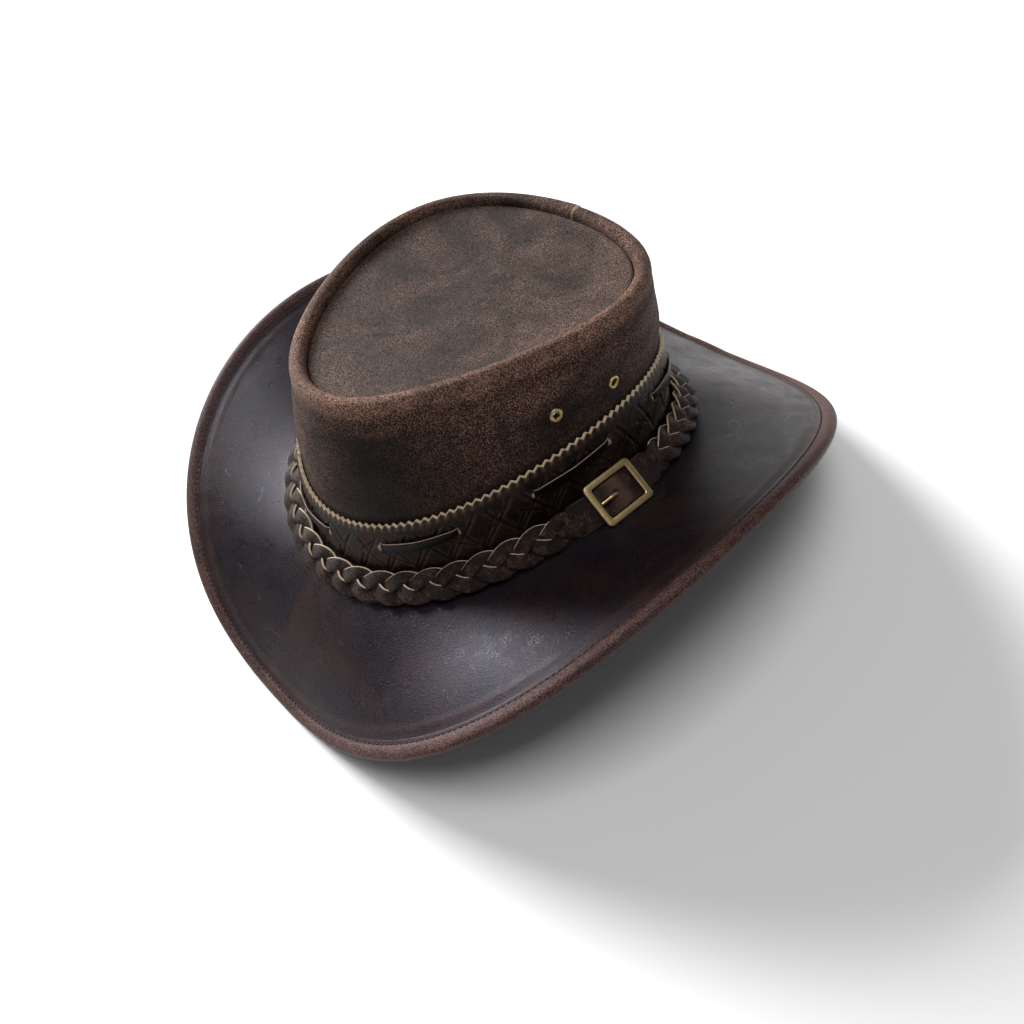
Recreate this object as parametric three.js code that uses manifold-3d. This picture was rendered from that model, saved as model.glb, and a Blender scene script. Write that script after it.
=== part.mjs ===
// Leather hat with a dished teardrop crown, a curled brim, a woven band and a plaited strap with a buckle.
// Millimetres, +Z up. The hat faces -Y, and the wearer's left is +X.
import * as THREE from 'three';
import { mergeVertices } from 'three/addons/utils/BufferGeometryUtils.js';
import Module from 'manifold-3d';

const wasm = await Module();
wasm.setup();

// Driving dimensions
const GAP = 0.35; // clearance between neighbouring pieces
const FOOT_GAP = 1.2; // and under the crown's and the band's feet, where the brim slopes
const COLUMNS = 54; // facets round the crown and the brim

// Oval of the band's top edge
const BAND_HALF_WIDTH = 86.4;
const BAND_HALF_LENGTH = 103.6;
const BAND_FLARE = 3; // the foot of the band stands this far outside its top edge
const BAND_THICKNESS = 1.6;

// Oval of the rim's inner side: a teardrop, narrow at the front
const RIM_HALF_WIDTH = 71.1;
const RIM_HALF_LENGTH = 82.7;
const RIM_FORWARD = 2.5;
const RIM_TAPER = 0.29;
const RIM_PINCH = 0.04;

// Crown
const CROWN_THICKNESS = 1.8;
const ROLL_RADIUS = 4.2; // rolled rim, outside
const ROLL_DROP = 4.2; // middle of the roll below the rim's height
const LIP_DROP = 10.5; // end of the roll's inner lip below the rim's height
const NECK_DEPTH = 1.1; // the wall draws in just below the roll
const WALL_BELLY = 1.2; // and swells half way up
const TOP_DROP = 4.6; // edge of the top plate below the rim's height
const TOP_DISH = 5; // the plate sinks this much towards its middle
const TOP_FLANGE = 5.5; // height of the plate's turned-down edge
const TOP_ROUNDING = 1.2; // corner above that edge
const TOP_PARING = 1.8; // its end is pared to a slant, this much higher inside
const TOP_SHARES = [0.5, 0.86]; // rings of the plate between its middle and its edge
const WALL_SHARES = [0, 0.45, 0.85]; // rings of the wall between the band and the roll
const ROLL_TURNS = [10, 60, 120, 180]; // degrees round the roll

// Brim and its binding
const BRIM_THICKNESS = 2.4;
const BRIM_TUCK = 7; // the sheet runs this far in under the crown
const EDGE_SETBACK = 2.4; // bare edge of the sheet inside the bound edge
const BEAD_RADIUS = 2.9;
const BINDING_REACH = 9; // width of the binding on each side of the sheet
const BINDING_LEG = 1.1;
const BINDING_CLEAR = 0.5; // between the sheet and the binding folded over it
const BEAD_TURNS = [-90, -45, 0, 45, 90];
const BRIM_STATIONS = [8, 30, 55]; // rings of the sheet, outwards from the crown's foot

// Lace
const LACE_SPANS = 8;
const LACE_DROP = 12; // its middle below the band's top edge
const LACE_WIDTH = 5.2;
const LACE_THICKNESS = 1;
const LACE_CLEAR = 0.5;
const SLOT_LENGTH = 3; // stations of the lace's route that one slot takes

// Plaited strap
const PLAIT_WIDTH = 17; // from its foot on the brim to its top on the band
const PLAIT_REACH = 14; // foot of the plait out along the brim
const PLAIT_STAND = 2.5; // its middle above the line from foot to top
const PLAIT_SWING = 4.6; // each strand swings this far to either side
const PLAIT_WEAVE = 1.25; // and this far in and out
const PLAIT_REPEATS = 15;
const STRAND_WIDTH = 7.4;
const STRAND_THICKNESS = 1.8;
const STEPS_PER_REPEAT = 8;

// Buckle, at the wearer's left
const BUCKLE_ANGLE = -1.2;
const BUCKLE_LENGTH = 29.5;
const BUCKLE_WIDTH = 23;
const BUCKLE_BAR = 3.4;
const BUCKLE_THICKNESS = 2.2;
const BUCKLE_CORNER = 2.4;
const BUCKLE_BEVEL = 0.4;
const BUCKLE_WINDOW_CORNER = 1;
const BUCKLE_STAND = 3.4; // middle of the frame above the plait's middle
const PIN_RADIUS = 0.9; // centre bar
const PIN_STAND = 2.2;
const PRONG_WIDTH = 2;
const PRONG_THICKNESS = 1.5;
const PRONG_LAP = 1.4; // length of the prong's end over the front bar
const HOOK_TURNS = [-150, -90, -30, 30, 90]; // degrees round the centre bar
const PRONG_SLOT = { length: 9.4, spare: 1.2, depth: 6, along: -1.5, off: 4.2 }; // cut in the strap

// Eyelets on each side: degrees from the side towards the back, and height over the band
const EYELETS = [
  { end: 'front', at: -9.5, above: 15.5 },
  { end: 'back', at: 10, above: 12.4 },
];
const EYELET_FLANGE = 3.3;
const EYELET_BARREL = 2.2;
const EYELET_BORE = 1.5;
const EYELET_METAL = 0.6;
const EYELET_SETTING = 2.9; // radius of the metal turned out behind the leather
const EYELET_HOLE = 2.7;
const EYELET_DRILL = 12; // length of the cutter for the hole
const EYELET_SIDES = 10;

// Pose in which the hat rests by itself on the front and back of its brim
const REST_LEAN = -3.38; // degrees about X
const REST_LIFT = 58.95; // height of the hat's own origin
const REST_FORWARD = 4.97; // sets the middle of the whole outline over the origin
const BEAD_FLATTENED = 0.7; // how much of the bead is pressed flat on the floor

// Sizes that change round the hat: back is more at the back and less at the front, sides is more at both
// sides and less at front and back, quarters and corners are the finer waves.
const ROUND = {
  bandTop: { mean: 43, back: 5.2, sides: 11.9, quarters: 0, corners: 0 },
  bandFoot: { mean: 0, back: -0.6, sides: 7.2, quarters: 0, corners: 0 },
  rimHeight: { mean: 96.1, back: 3.3, sides: 2.7, quarters: 0, corners: 0 },
  brimWidth: { mean: 85.5, back: 0.1, sides: -2.4, quarters: 0, corners: 0 },
  brimSlope: { mean: -6.2, back: 7.8, sides: 28.1, quarters: -1.6, corners: -1.9 },
  brimCurl: { mean: -6, back: 4, sides: 10, quarters: 0, corners: 0 },
};

// The band's swell off the crown, where the lace runs behind it
const BAND_PROFILE = [
  { drop: 0, swell: 0 },
  { drop: 8, swell: 1.9 },
  { drop: 16, swell: 1.9 },
  { drop: 26, swell: 0.6 },
];

// One repeat of the lace: degrees along it, and 0 behind the band to 1 in front of it
const LACE_ROUTE = [
  { at: -24.4, out: 0 },
  { at: -21.6, out: 0.5 },
  { at: -18.8, out: 1 },
  { at: -12.8, out: 1 },
  { at: -6.8, out: 1 },
  { at: -0.8, out: 1 },
  { at: 2, out: 0.5 },
  { at: 4.8, out: 0 },
  { at: 12.7, out: 0 },
];

// The strap through the buckle: along it from the middle, its height over the plait's middle, and its width
const STRAP_ROUTE = [
  { along: -27, height: 0, width: 16 },
  { along: -20, height: 0.3, width: 16 },
  { along: -16, height: 0.9, width: 15.6 },
  { along: -12.8, height: 1.3, width: 15 },
  { along: -9.5, height: 1.7, width: 15 },
  { along: -6, height: 2.8, width: 15 },
  { along: -2.4, height: 4.2, width: 15 },
  { along: 0, height: 4.5, width: 15 },
  { along: 2.4, height: 4.2, width: 15 },
  { along: 6, height: 2.8, width: 15 },
  { along: 9.5, height: 1.7, width: 15 },
  { along: 12.8, height: 1.3, width: 15 },
  { along: 16, height: 0.9, width: 15.6 },
  { along: 20, height: 0.3, width: 16 },
  { along: 27, height: 0, width: 16 },
];

// Leather and brass
const NUBUCK = new THREE.MeshStandardMaterial({ color: 0x4a342b, roughness: 0.85, metalness: 0 });
const OILED = new THREE.MeshStandardMaterial({ color: 0x2f2624, roughness: 0.5, metalness: 0 });
const WORN_EDGE = new THREE.MeshStandardMaterial({ color: 0x573a2f, roughness: 0.75, metalness: 0 });
const EMBOSSED = new THREE.MeshStandardMaterial({ color: 0x241c1a, roughness: 0.6, metalness: 0 });
const LACE_LEATHER = new THREE.MeshStandardMaterial({ color: 0x191514, roughness: 0.5, metalness: 0 });
const PLAIT_LEATHER = new THREE.MeshStandardMaterial({ color: 0x43332d, roughness: 0.6, metalness: 0 });
const BRASS = new THREE.MeshStandardMaterial({ color: 0x8f7a4a, roughness: 0.35, metalness: 1 });

const radians = THREE.MathUtils.degToRad;
const hat = new THREE.Group();
hat.rotation.x = radians(REST_LEAN);
hat.position.set(0, -REST_FORWARD, REST_LIFT);

function around(row, t) {
  const waves = row.quarters * Math.sin(3 * t) + row.corners * Math.cos(4 * t);
  return row.mean + row.back * Math.sin(t) + row.sides * Math.cos(2 * t) + waves;
}

function bandOval(t) {
  return new THREE.Vector3(BAND_HALF_WIDTH * Math.cos(t), BAND_HALF_LENGTH * Math.sin(t), 0);
}

function rimOval(t) {
  const width = RIM_HALF_WIDTH * (1 + RIM_TAPER * Math.sin(t) - RIM_PINCH * Math.cos(2 * t));
  return new THREE.Vector3(width * Math.cos(t), RIM_HALF_LENGTH * Math.sin(t) - RIM_FORWARD, 0);
}

// A point beside an oval: out along its horizontal normal, at a height.
function beside(oval, t, out, height) {
  const before = oval(t - 1e-4);
  const after = oval(t + 1e-4);
  const normal = new THREE.Vector3(after.y - before.y, before.x - after.x, 0).normalize();
  return oval(t).addScaledVector(normal, out).setZ(height);
}

// Height over the floor of a point of the hat in its rest pose.
function restHeight(point) {
  return point.y * Math.sin(radians(REST_LEAN)) + point.z * Math.cos(radians(REST_LEAN)) + REST_LIFT;
}

// A point of the brim before it is pressed: along the sheet from the crown's foot, and above its upper face.
function freeBrimPoint(t, along, above) {
  const curl = around(ROUND.brimCurl, t);
  const turned = (curl * along) / around(ROUND.brimWidth, t);
  const start = around(ROUND.brimSlope, t) - curl / 2;
  const half = radians(turned / 2);
  const chord = Math.abs(half) < 1e-6 ? along : (along * Math.sin(half)) / half;
  const middle = radians(start + turned / 2);
  const end = radians(start + turned);
  const out = chord * Math.cos(middle) - above * Math.sin(end);
  const rise = chord * Math.sin(middle) + above * Math.cos(end);
  return beside(bandOval, t, BAND_FLARE + out, around(ROUND.bandFoot, t) + rise);
}

// The same, with the brim's edge bent up where it rests on the floor.
function brimPoint(t, along, above) {
  const width = around(ROUND.brimWidth, t);
  const bead = freeBrimPoint(t, width - BEAD_RADIUS, -BRIM_THICKNESS / 2);
  const sunk = Math.max(0, BEAD_RADIUS - BEAD_FLATTENED - restHeight(bead));
  const point = freeBrimPoint(t, along, above);
  point.z += sunk * Math.max(0, along / width) ** 3;
  return point;
}

// Solids from rings of points

function solidFrom(points, faces) {
  const geometry = new THREE.BufferGeometry();
  geometry.setAttribute('position', new THREE.Float32BufferAttribute(points.flatMap((p) => p.toArray()), 3));
  const volume = faces.reduce((sum, [a, b, c]) => sum + points[a].dot(points[b].clone().cross(points[c])), 0);
  geometry.setIndex(faces.flatMap(([a, b, c]) => (volume > 0 ? [a, b, c] : [a, c, b])));
  return geometry;
}

// Skin between closed rings of points, each ring joined to the next; the last joins the first if closed.
function skin(rings, closed) {
  const size = rings[0].length;
  const faces = [];
  for (let i = 0; i < rings.length - (closed ? 0 : 1); i += 1) {
    const next = (i + 1) % rings.length;
    for (let j = 0; j < size; j += 1) {
      const k = (j + 1) % size;
      faces.push([i * size + j, next * size + j, next * size + k]);
      faces.push([i * size + j, next * size + k, i * size + k]);
    }
  }
  return faces;
}

function loopSolid(sectionAt) {
  const rings = [];
  for (let i = 0; i < COLUMNS; i += 1) rings.push(sectionAt((2 * Math.PI * i) / COLUMNS));
  return solidFrom(rings.flat(), skin(rings, true));
}

// A bar through a list of sections, closed with a fan at both ends.
function barSolid(rings) {
  const size = rings[0].length;
  const faces = skin(rings, false);
  const last = (rings.length - 1) * size;
  for (let j = 1; j < size - 1; j += 1) {
    faces.push([0, j, j + 1]);
    faces.push([last, last + j + 1, last + j]);
  }
  return solidFrom(rings.flat(), faces);
}

// Points of a surface moved in by a thickness, along the surface's normal.
function thickened(profileAt, t, thickness) {
  const row = profileAt(t);
  const before = profileAt(t - 1e-3);
  const after = profileAt(t + 1e-3);
  return row.map((point, j) => {
    const along = after[j].clone().sub(before[j]);
    const across = row[Math.min(j + 1, row.length - 1)].clone().sub(row[Math.max(j - 1, 0)]);
    return point.clone().addScaledVector(across.cross(along).normalize(), thickness);
  });
}

// A sheet that closes round the hat, from its outer face and its thickness.
function sheetRing(profileAt, thickness) {
  return loopSolid((t) => [...profileAt(t), ...thickened(profileAt, t, thickness).reverse()]);
}

function toManifold(geometry) {
  const bare = new THREE.BufferGeometry();
  bare.setAttribute('position', geometry.getAttribute('position').clone());
  if (geometry.index) bare.setIndex(geometry.index.clone());
  const merged = mergeVertices(bare, 1e-4);
  return new wasm.Manifold(
    new wasm.Mesh({
      numProp: 3,
      vertProperties: new Float32Array(merged.getAttribute('position').array),
      triVerts: new Uint32Array(merged.index.array),
    }),
  );
}

function fromManifold(solid) {
  const mesh = solid.getMesh();
  const geometry = new THREE.BufferGeometry();
  geometry.setAttribute('position', new THREE.BufferAttribute(mesh.vertProperties, 3));
  geometry.setIndex(new THREE.BufferAttribute(mesh.triVerts, 1));
  return geometry;
}

function addPiece(name, geometry, material) {
  const mesh = new THREE.Mesh(geometry, material);
  mesh.name = name;
  hat.add(mesh);
  return mesh;
}

// Crown

// A point of the crown's outer face between the band's top edge, 0, and the roll, 1.
function wallPoint(t, share) {
  const low = beside(bandOval, t, -BAND_THICKNESS - GAP, around(ROUND.bandTop, t));
  const high = beside(rimOval, t, 2 * ROLL_RADIUS, around(ROUND.rimHeight, t) - ROLL_DROP);
  const belly = WALL_BELLY * Math.sin(Math.PI * share) - NECK_DEPTH * share ** 6;
  const out = beside(bandOval, t, 1, 0).sub(bandOval(t));
  return low.lerp(high, share).addScaledVector(out, belly);
}

function crownWallProfile(t) {
  const face = BAND_FLARE - BAND_THICKNESS - GAP;
  const outside = brimPoint(t, face - BAND_FLARE, FOOT_GAP);
  const inside = brimPoint(t, face - BAND_FLARE - CROWN_THICKNESS, FOOT_GAP);
  const profile = [beside(bandOval, t, face, Math.max(outside.z, inside.z))];
  for (const share of WALL_SHARES) profile.push(wallPoint(t, share));
  const rim = around(ROUND.rimHeight, t);
  for (const turn of ROLL_TURNS) {
    const out = ROLL_RADIUS * (1 + Math.cos(radians(turn)));
    profile.push(beside(rimOval, t, out, rim - ROLL_DROP + ROLL_RADIUS * Math.sin(radians(turn))));
  }
  profile.push(beside(rimOval, t, 0, rim - LIP_DROP));
  return profile;
}

function eyeletPlaces() {
  const places = [];
  for (const { end, at, above } of EYELETS) {
    places.push({ name: `eyelet_left_${end}`, t: radians(at), above });
    places.push({ name: `eyelet_right_${end}`, t: Math.PI - radians(at), above });
  }
  return places;
}

// Position and turn of an eyelet: its axis is the wall's normal.
function eyeletSeat({ t, above }) {
  const share = above / (around(ROUND.rimHeight, t) - ROLL_DROP - around(ROUND.bandTop, t));
  const along = wallPoint(t + 1e-3, share).sub(wallPoint(t - 1e-3, share));
  const up = wallPoint(t, share + 0.02).sub(wallPoint(t, share - 0.02));
  const axis = along.cross(up).normalize();
  const turn = new THREE.Quaternion().setFromUnitVectors(new THREE.Vector3(0, 1, 0), axis);
  return { position: wallPoint(t, share), turn };
}

function crownWall() {
  let wall = toManifold(sheetRing(crownWallProfile, CROWN_THICKNESS));
  for (const place of eyeletPlaces()) {
    const seat = eyeletSeat(place);
    const drill = new THREE.CylinderGeometry(EYELET_HOLE, EYELET_HOLE, EYELET_DRILL, EYELET_SIDES);
    drill.applyQuaternion(seat.turn).translate(...seat.position.toArray());
    wall = wall.subtract(toManifold(drill));
  }
  return fromManifold(wall);
}

function eyelet() {
  const face = 2 * GAP;
  const back = -CROWN_THICKNESS - 3 * GAP;
  const profile = [
    [EYELET_BORE, back - EYELET_METAL],
    [EYELET_SETTING, back - EYELET_METAL],
    [EYELET_SETTING, back],
    [EYELET_BARREL, back],
    [EYELET_BARREL, face],
    [EYELET_FLANGE, face],
    [EYELET_FLANGE - EYELET_METAL, face + EYELET_METAL],
    [EYELET_BORE, face + EYELET_METAL],
    [EYELET_BORE, back - EYELET_METAL],
  ];
  return new THREE.LatheGeometry(profile.map(([r, y]) => new THREE.Vector2(r, y)), EYELET_SIDES);
}

// Top plate: a ray of points from near its middle to its turned-down edge.
function topMiddle() {
  return new THREE.Vector3(0, -RIM_FORWARD, around(ROUND.rimHeight, 0) - TOP_DROP - TOP_DISH);
}

function topProfile(t) {
  const height = around(ROUND.rimHeight, t) - TOP_DROP;
  const middle = topMiddle();
  const points = TOP_SHARES.map((share) => {
    const rise = THREE.MathUtils.lerp(middle.z, height, share ** 2.5);
    return topMiddle().lerp(beside(rimOval, t, -GAP, height), share).setZ(rise);
  });
  points.push(beside(rimOval, t, -GAP - TOP_ROUNDING, height));
  points.push(beside(rimOval, t, -GAP, height - TOP_ROUNDING));
  points.push(beside(rimOval, t, -GAP, height - TOP_FLANGE));
  return points;
}

// The innermost points above and below are closed by fans round the middle instead of an inner skin.
function crownTop() {
  const rings = [];
  for (let i = 0; i < COLUMNS; i += 1) {
    const t = (2 * Math.PI * i) / COLUMNS;
    const under = thickened(topProfile, t, -CROWN_THICKNESS);
    under.at(-1).z += TOP_PARING;
    rings.push([...topProfile(t), ...under.reverse()]);
  }
  const size = rings[0].length;
  const faces = skin(rings, true).filter((corners) => {
    const places = corners.map((corner) => corner % size);
    return !(places.includes(0) && places.includes(size - 1));
  });
  const upper = COLUMNS * size;
  const lower = upper + 1;
  for (let i = 0; i < COLUMNS; i += 1) {
    const next = (i + 1) % COLUMNS;
    faces.push([upper, next * size, i * size]);
    faces.push([lower, i * size + size - 1, next * size + size - 1]);
  }
  const middle = topMiddle();
  return solidFrom([...rings.flat(), middle, middle.clone().setZ(middle.z - CROWN_THICKNESS)], faces);
}

// Brim

function brim() {
  return loopSolid((t) => {
    const edge = around(ROUND.brimWidth, t) - EDGE_SETBACK;
    const stations = [-BRIM_TUCK, ...BRIM_STATIONS, edge - BINDING_REACH, edge];
    const upper = stations.map((along) => brimPoint(t, along, 0));
    const lower = stations.map((along) => brimPoint(t, along, -BRIM_THICKNESS));
    return [...upper, ...lower.reverse()];
  });
}

function brimBinding() {
  return loopSolid((t) => {
    const width = around(ROUND.brimWidth, t);
    const leg = width - BINDING_REACH;
    const pocket = width - EDGE_SETBACK + BINDING_CLEAR;
    const under = -BRIM_THICKNESS - BINDING_CLEAR;
    const section = [
      [leg, BINDING_CLEAR],
      [pocket, BINDING_CLEAR],
      [pocket, under],
      [leg, under],
      [leg, under - BINDING_LEG],
    ];
    for (const turn of BEAD_TURNS) {
      const out = Math.cos(radians(turn)) * BEAD_RADIUS;
      const up = Math.sin(radians(turn)) * BEAD_RADIUS;
      section.push([width - BEAD_RADIUS + out, up - BRIM_THICKNESS / 2]);
    }
    section.push([leg, BINDING_CLEAR + BINDING_LEG]);
    return section.map(([along, above]) => {
      const point = brimPoint(t, along, above);
      point.z += Math.max(0, -restHeight(point)) / Math.cos(radians(REST_LEAN));
      return point;
    });
  });
}

// Band and lace

// A point of the band's outer face, a distance below its top edge, with a clearance off the face.
function bandPoint(t, drop, off) {
  const top = around(ROUND.bandTop, t);
  const flare = (BAND_FLARE * drop) / (top - around(ROUND.bandFoot, t));
  const last = BAND_PROFILE.length - 1;
  const row = BAND_PROFILE.findIndex((entry, i) => i > 0 && (drop <= entry.drop || i === last));
  const low = BAND_PROFILE[row - 1];
  const high = BAND_PROFILE[row];
  const share = Math.min(1, (drop - low.drop) / (high.drop - low.drop));
  const swell = THREE.MathUtils.lerp(low.swell, high.swell, share);
  return beside(bandOval, t, flare + swell + off, top - drop);
}

function bandFoot(t) {
  const inside = brimPoint(t, -BAND_THICKNESS, FOOT_GAP);
  const outside = brimPoint(t, 1, FOOT_GAP);
  return around(ROUND.bandTop, t) - Math.max(inside.z, outside.z);
}

function lacePoint(t, out) {
  const hidden = -BAND_THICKNESS - LACE_CLEAR - LACE_THICKNESS / 2;
  const shown = LACE_CLEAR + LACE_THICKNESS / 2;
  return bandPoint(t, LACE_DROP, THREE.MathUtils.lerp(hidden, shown, out));
}

// Flat section of the lace or of a slot cut for it.
function laceSection(degrees, out, width, thickness) {
  const t = radians(degrees);
  const middle = lacePoint(t, out);
  const up = bandPoint(t, LACE_DROP - 2, 0).sub(bandPoint(t, LACE_DROP + 2, 0)).normalize();
  const off = beside(bandOval, t, 1, 0).sub(bandOval(t));
  return [[-1, -1], [1, -1], [1, 1], [-1, 1]].map(([a, b]) =>
    middle.clone().addScaledVector(up, (a * width) / 2).addScaledVector(off, (b * thickness) / 2),
  );
}

function lace() {
  const rings = [];
  for (let i = 0; i < LACE_SPANS; i += 1) {
    for (const row of LACE_ROUTE) {
      rings.push(laceSection(row.at + (360 * i) / LACE_SPANS, row.out, LACE_WIDTH, LACE_THICKNESS));
    }
  }
  return solidFrom(rings.flat(), skin(rings, true));
}

function hatBand() {
  const drops = BAND_PROFILE.slice(0, 3).map((row) => row.drop);
  const profileAt = (t) => [bandFoot(t), ...drops.slice().reverse()].map((drop) => bandPoint(t, drop, 0));
  let band = toManifold(sheetRing(profileAt, BAND_THICKNESS));
  for (let i = 0; i < LACE_SPANS; i += 1) {
    for (const first of [0, LACE_ROUTE.findIndex((row) => row.at > 0) - 1]) {
      const rows = LACE_ROUTE.slice(first, first + SLOT_LENGTH);
      const rings = rows.map((row) =>
        laceSection(row.at + (360 * i) / LACE_SPANS, row.out, LACE_WIDTH + 2 * GAP, LACE_THICKNESS + 2 * GAP),
      );
      band = band.subtract(toManifold(barSolid(rings)));
    }
  }
  return fromManifold(band);
}

// Plait, strap and buckle

// Foot of the plait on the brim and its top on the band, with the plait's middle between them.
function plaitSeat(t) {
  const foot = brimPoint(t, PLAIT_REACH, 0);
  let low = BAND_PROFILE[2].drop;
  let high = bandFoot(t);
  for (let i = 0; i < 24; i += 1) {
    const drop = (low + high) / 2;
    if (bandPoint(t, drop, 0).distanceTo(foot) > PLAIT_WIDTH) low = drop;
    else high = drop;
  }
  const top = bandPoint(t, low, 0);
  const up = top.clone().sub(foot).normalize();
  const ahead = brimPoint(t + 1e-3, PLAIT_REACH, 0).sub(brimPoint(t - 1e-3, PLAIT_REACH, 0)).normalize();
  const off = ahead.clone().cross(up).normalize();
  return { middle: foot.add(top).multiplyScalar(0.5).addScaledVector(off, PLAIT_STAND), ahead, up, off };
}

// Length along the plait's middle, tabulated against the angle from the buckle.
const PLAIT_TABLE = [{ t: radians(BUCKLE_ANGLE), length: 0 }];
for (let i = 1; i <= 360; i += 1) {
  const t = radians(BUCKLE_ANGLE + i);
  const step = plaitSeat(t).middle.distanceTo(plaitSeat(t - radians(1)).middle);
  PLAIT_TABLE.push({ t, length: PLAIT_TABLE[i - 1].length + step });
}
const PLAIT_ROUND = PLAIT_TABLE[360].length;

function angleAtLength(length) {
  const wrapped = THREE.MathUtils.euclideanModulo(length, PLAIT_ROUND);
  const i = Math.max(1, PLAIT_TABLE.findIndex((row) => row.length >= wrapped));
  const [low, high] = [PLAIT_TABLE[i - 1], PLAIT_TABLE[i]];
  return THREE.MathUtils.mapLinear(wrapped, low.length, high.length, low.t, high.t);
}

// A point in the plait's own frame: along it, up across it, and off the crown.
function plaitPoint(along, up, off) {
  const seat = plaitSeat(angleAtLength(along));
  return seat.middle.addScaledVector(seat.up, up).addScaledVector(seat.off, off);
}

const TAB_END = STRAP_ROUTE[STRAP_ROUTE.length - 1].along;
const PLAIT_LENGTH = PLAIT_ROUND - 2 * TAB_END;
const ACROSS = [-1, -0.45, 0, 0.45, 1]; // places across the plait where its two faces are given

// The three strands where they cross a line over the plait: middle, half width and height of each.
function strandsAt(share) {
  const settle = Math.min(1, (Math.min(share, 1 - share) * PLAIT_REPEATS) / 0.3);
  return [0, 1, 2].map((strand) => {
    const turn = 2 * Math.PI * (PLAIT_REPEATS * share + strand / 3);
    const steep = (PLAIT_SWING * Math.cos(turn) * 2 * Math.PI * PLAIT_REPEATS) / PLAIT_LENGTH;
    const half = (STRAND_WIDTH / 2) * Math.hypot(1, steep);
    return { up: PLAIT_SWING * Math.sin(turn), half, off: settle * PLAIT_WEAVE * Math.sin(2 * turn) };
  });
}

// A ring round the plait: its outer face follows the topmost strand, its inner face the lowest.
function plaitRing(share) {
  const strands = strandsAt(share);
  const low = Math.max(-PLAIT_WIDTH / 2, Math.min(...strands.map((strand) => strand.up - strand.half)));
  const high = Math.min(PLAIT_WIDTH / 2, Math.max(...strands.map((strand) => strand.up + strand.half)));
  const heights = ACROSS.map((place) => {
    const up = THREE.MathUtils.mapLinear(place, -1, 1, low, high);
    const here = strands.filter((strand) => Math.abs(up - strand.up) <= strand.half + 0.5);
    const offs = here.map((strand) => strand.off);
    const outer = Math.max(...offs) + STRAND_THICKNESS / 2;
    const inner = Math.min(...offs) - STRAND_THICKNESS / 2;
    return { up, outer, inner };
  });
  const along = TAB_END + share * PLAIT_LENGTH;
  const outer = heights.map(({ up, outer: off }) => plaitPoint(along, up, off));
  const inner = heights.map(({ up, inner: off }) => plaitPoint(along, up, off));
  return [...outer, ...inner.reverse()];
}

function strapRing({ along, height, width }) {
  const half = STRAND_THICKNESS / 2;
  const outer = ACROSS.map((place) => plaitPoint(along, (place * width) / 2, height + half));
  const inner = ACROSS.map((place) => plaitPoint(along, (place * width) / 2, height - half));
  return [...outer, ...inner.reverse()];
}

// The plait and the plain strap between its ends make one loop, with a slot for the prong.
function braidedStrap() {
  const rings = STRAP_ROUTE.map(strapRing);
  const steps = PLAIT_REPEATS * STEPS_PER_REPEAT;
  for (let i = 1; i < steps; i += 1) rings.push(plaitRing(i / steps));
  const slot = new THREE.BoxGeometry(PRONG_SLOT.length, PRONG_WIDTH + PRONG_SLOT.spare, PRONG_SLOT.depth);
  slot.translate(PRONG_SLOT.along, 0, PRONG_SLOT.off);
  slot.applyMatrix4(buckleFrame());
  return fromManifold(toManifold(solidFrom(rings.flat(), skin(rings, true))).subtract(toManifold(slot)));
}

// Frame of the buckle: x along the strap towards the back, y up across it, z off the crown.
function buckleFrame() {
  const seat = plaitSeat(radians(BUCKLE_ANGLE));
  const up = seat.off.clone().cross(seat.ahead).normalize();
  return new THREE.Matrix4().makeBasis(seat.ahead, up, seat.off).setPosition(seat.middle);
}

function roundedRectangle(Kind, length, width, corner) {
  const [x, y] = [length / 2, width / 2];
  const path = new Kind();
  path.moveTo(-x + corner, -y);
  path.lineTo(x - corner, -y);
  path.quadraticCurveTo(x, -y, x, -y + corner);
  path.lineTo(x, y - corner);
  path.quadraticCurveTo(x, y, x - corner, y);
  path.lineTo(-x + corner, y);
  path.quadraticCurveTo(-x, y, -x, y - corner);
  path.lineTo(-x, -y + corner);
  path.quadraticCurveTo(-x, -y, -x + corner, -y);
  return path;
}

function buckleSolid() {
  const bevel = BUCKLE_BEVEL;
  const outside = [BUCKLE_LENGTH - 2 * bevel, BUCKLE_WIDTH - 2 * bevel];
  const outline = roundedRectangle(THREE.Shape, ...outside, BUCKLE_CORNER);
  const inside = [BUCKLE_LENGTH - 2 * BUCKLE_BAR + 2 * bevel, BUCKLE_WIDTH - 2 * BUCKLE_BAR + 2 * bevel];
  outline.holes.push(roundedRectangle(THREE.Path, ...inside, BUCKLE_WINDOW_CORNER));
  const frame = new THREE.ExtrudeGeometry(outline, {
    depth: BUCKLE_THICKNESS - 2 * bevel,
    bevelThickness: bevel,
    bevelSize: bevel,
    bevelSegments: 1,
    curveSegments: 3,
  });
  frame.translate(0, 0, BUCKLE_STAND - BUCKLE_THICKNESS / 2 + bevel);
  const pin = new THREE.CylinderGeometry(PIN_RADIUS, PIN_RADIUS, BUCKLE_WIDTH - BUCKLE_BAR, 10);
  pin.translate(0, 0, PIN_STAND);
  return fromManifold(toManifold(frame).add(toManifold(pin)));
}

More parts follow.
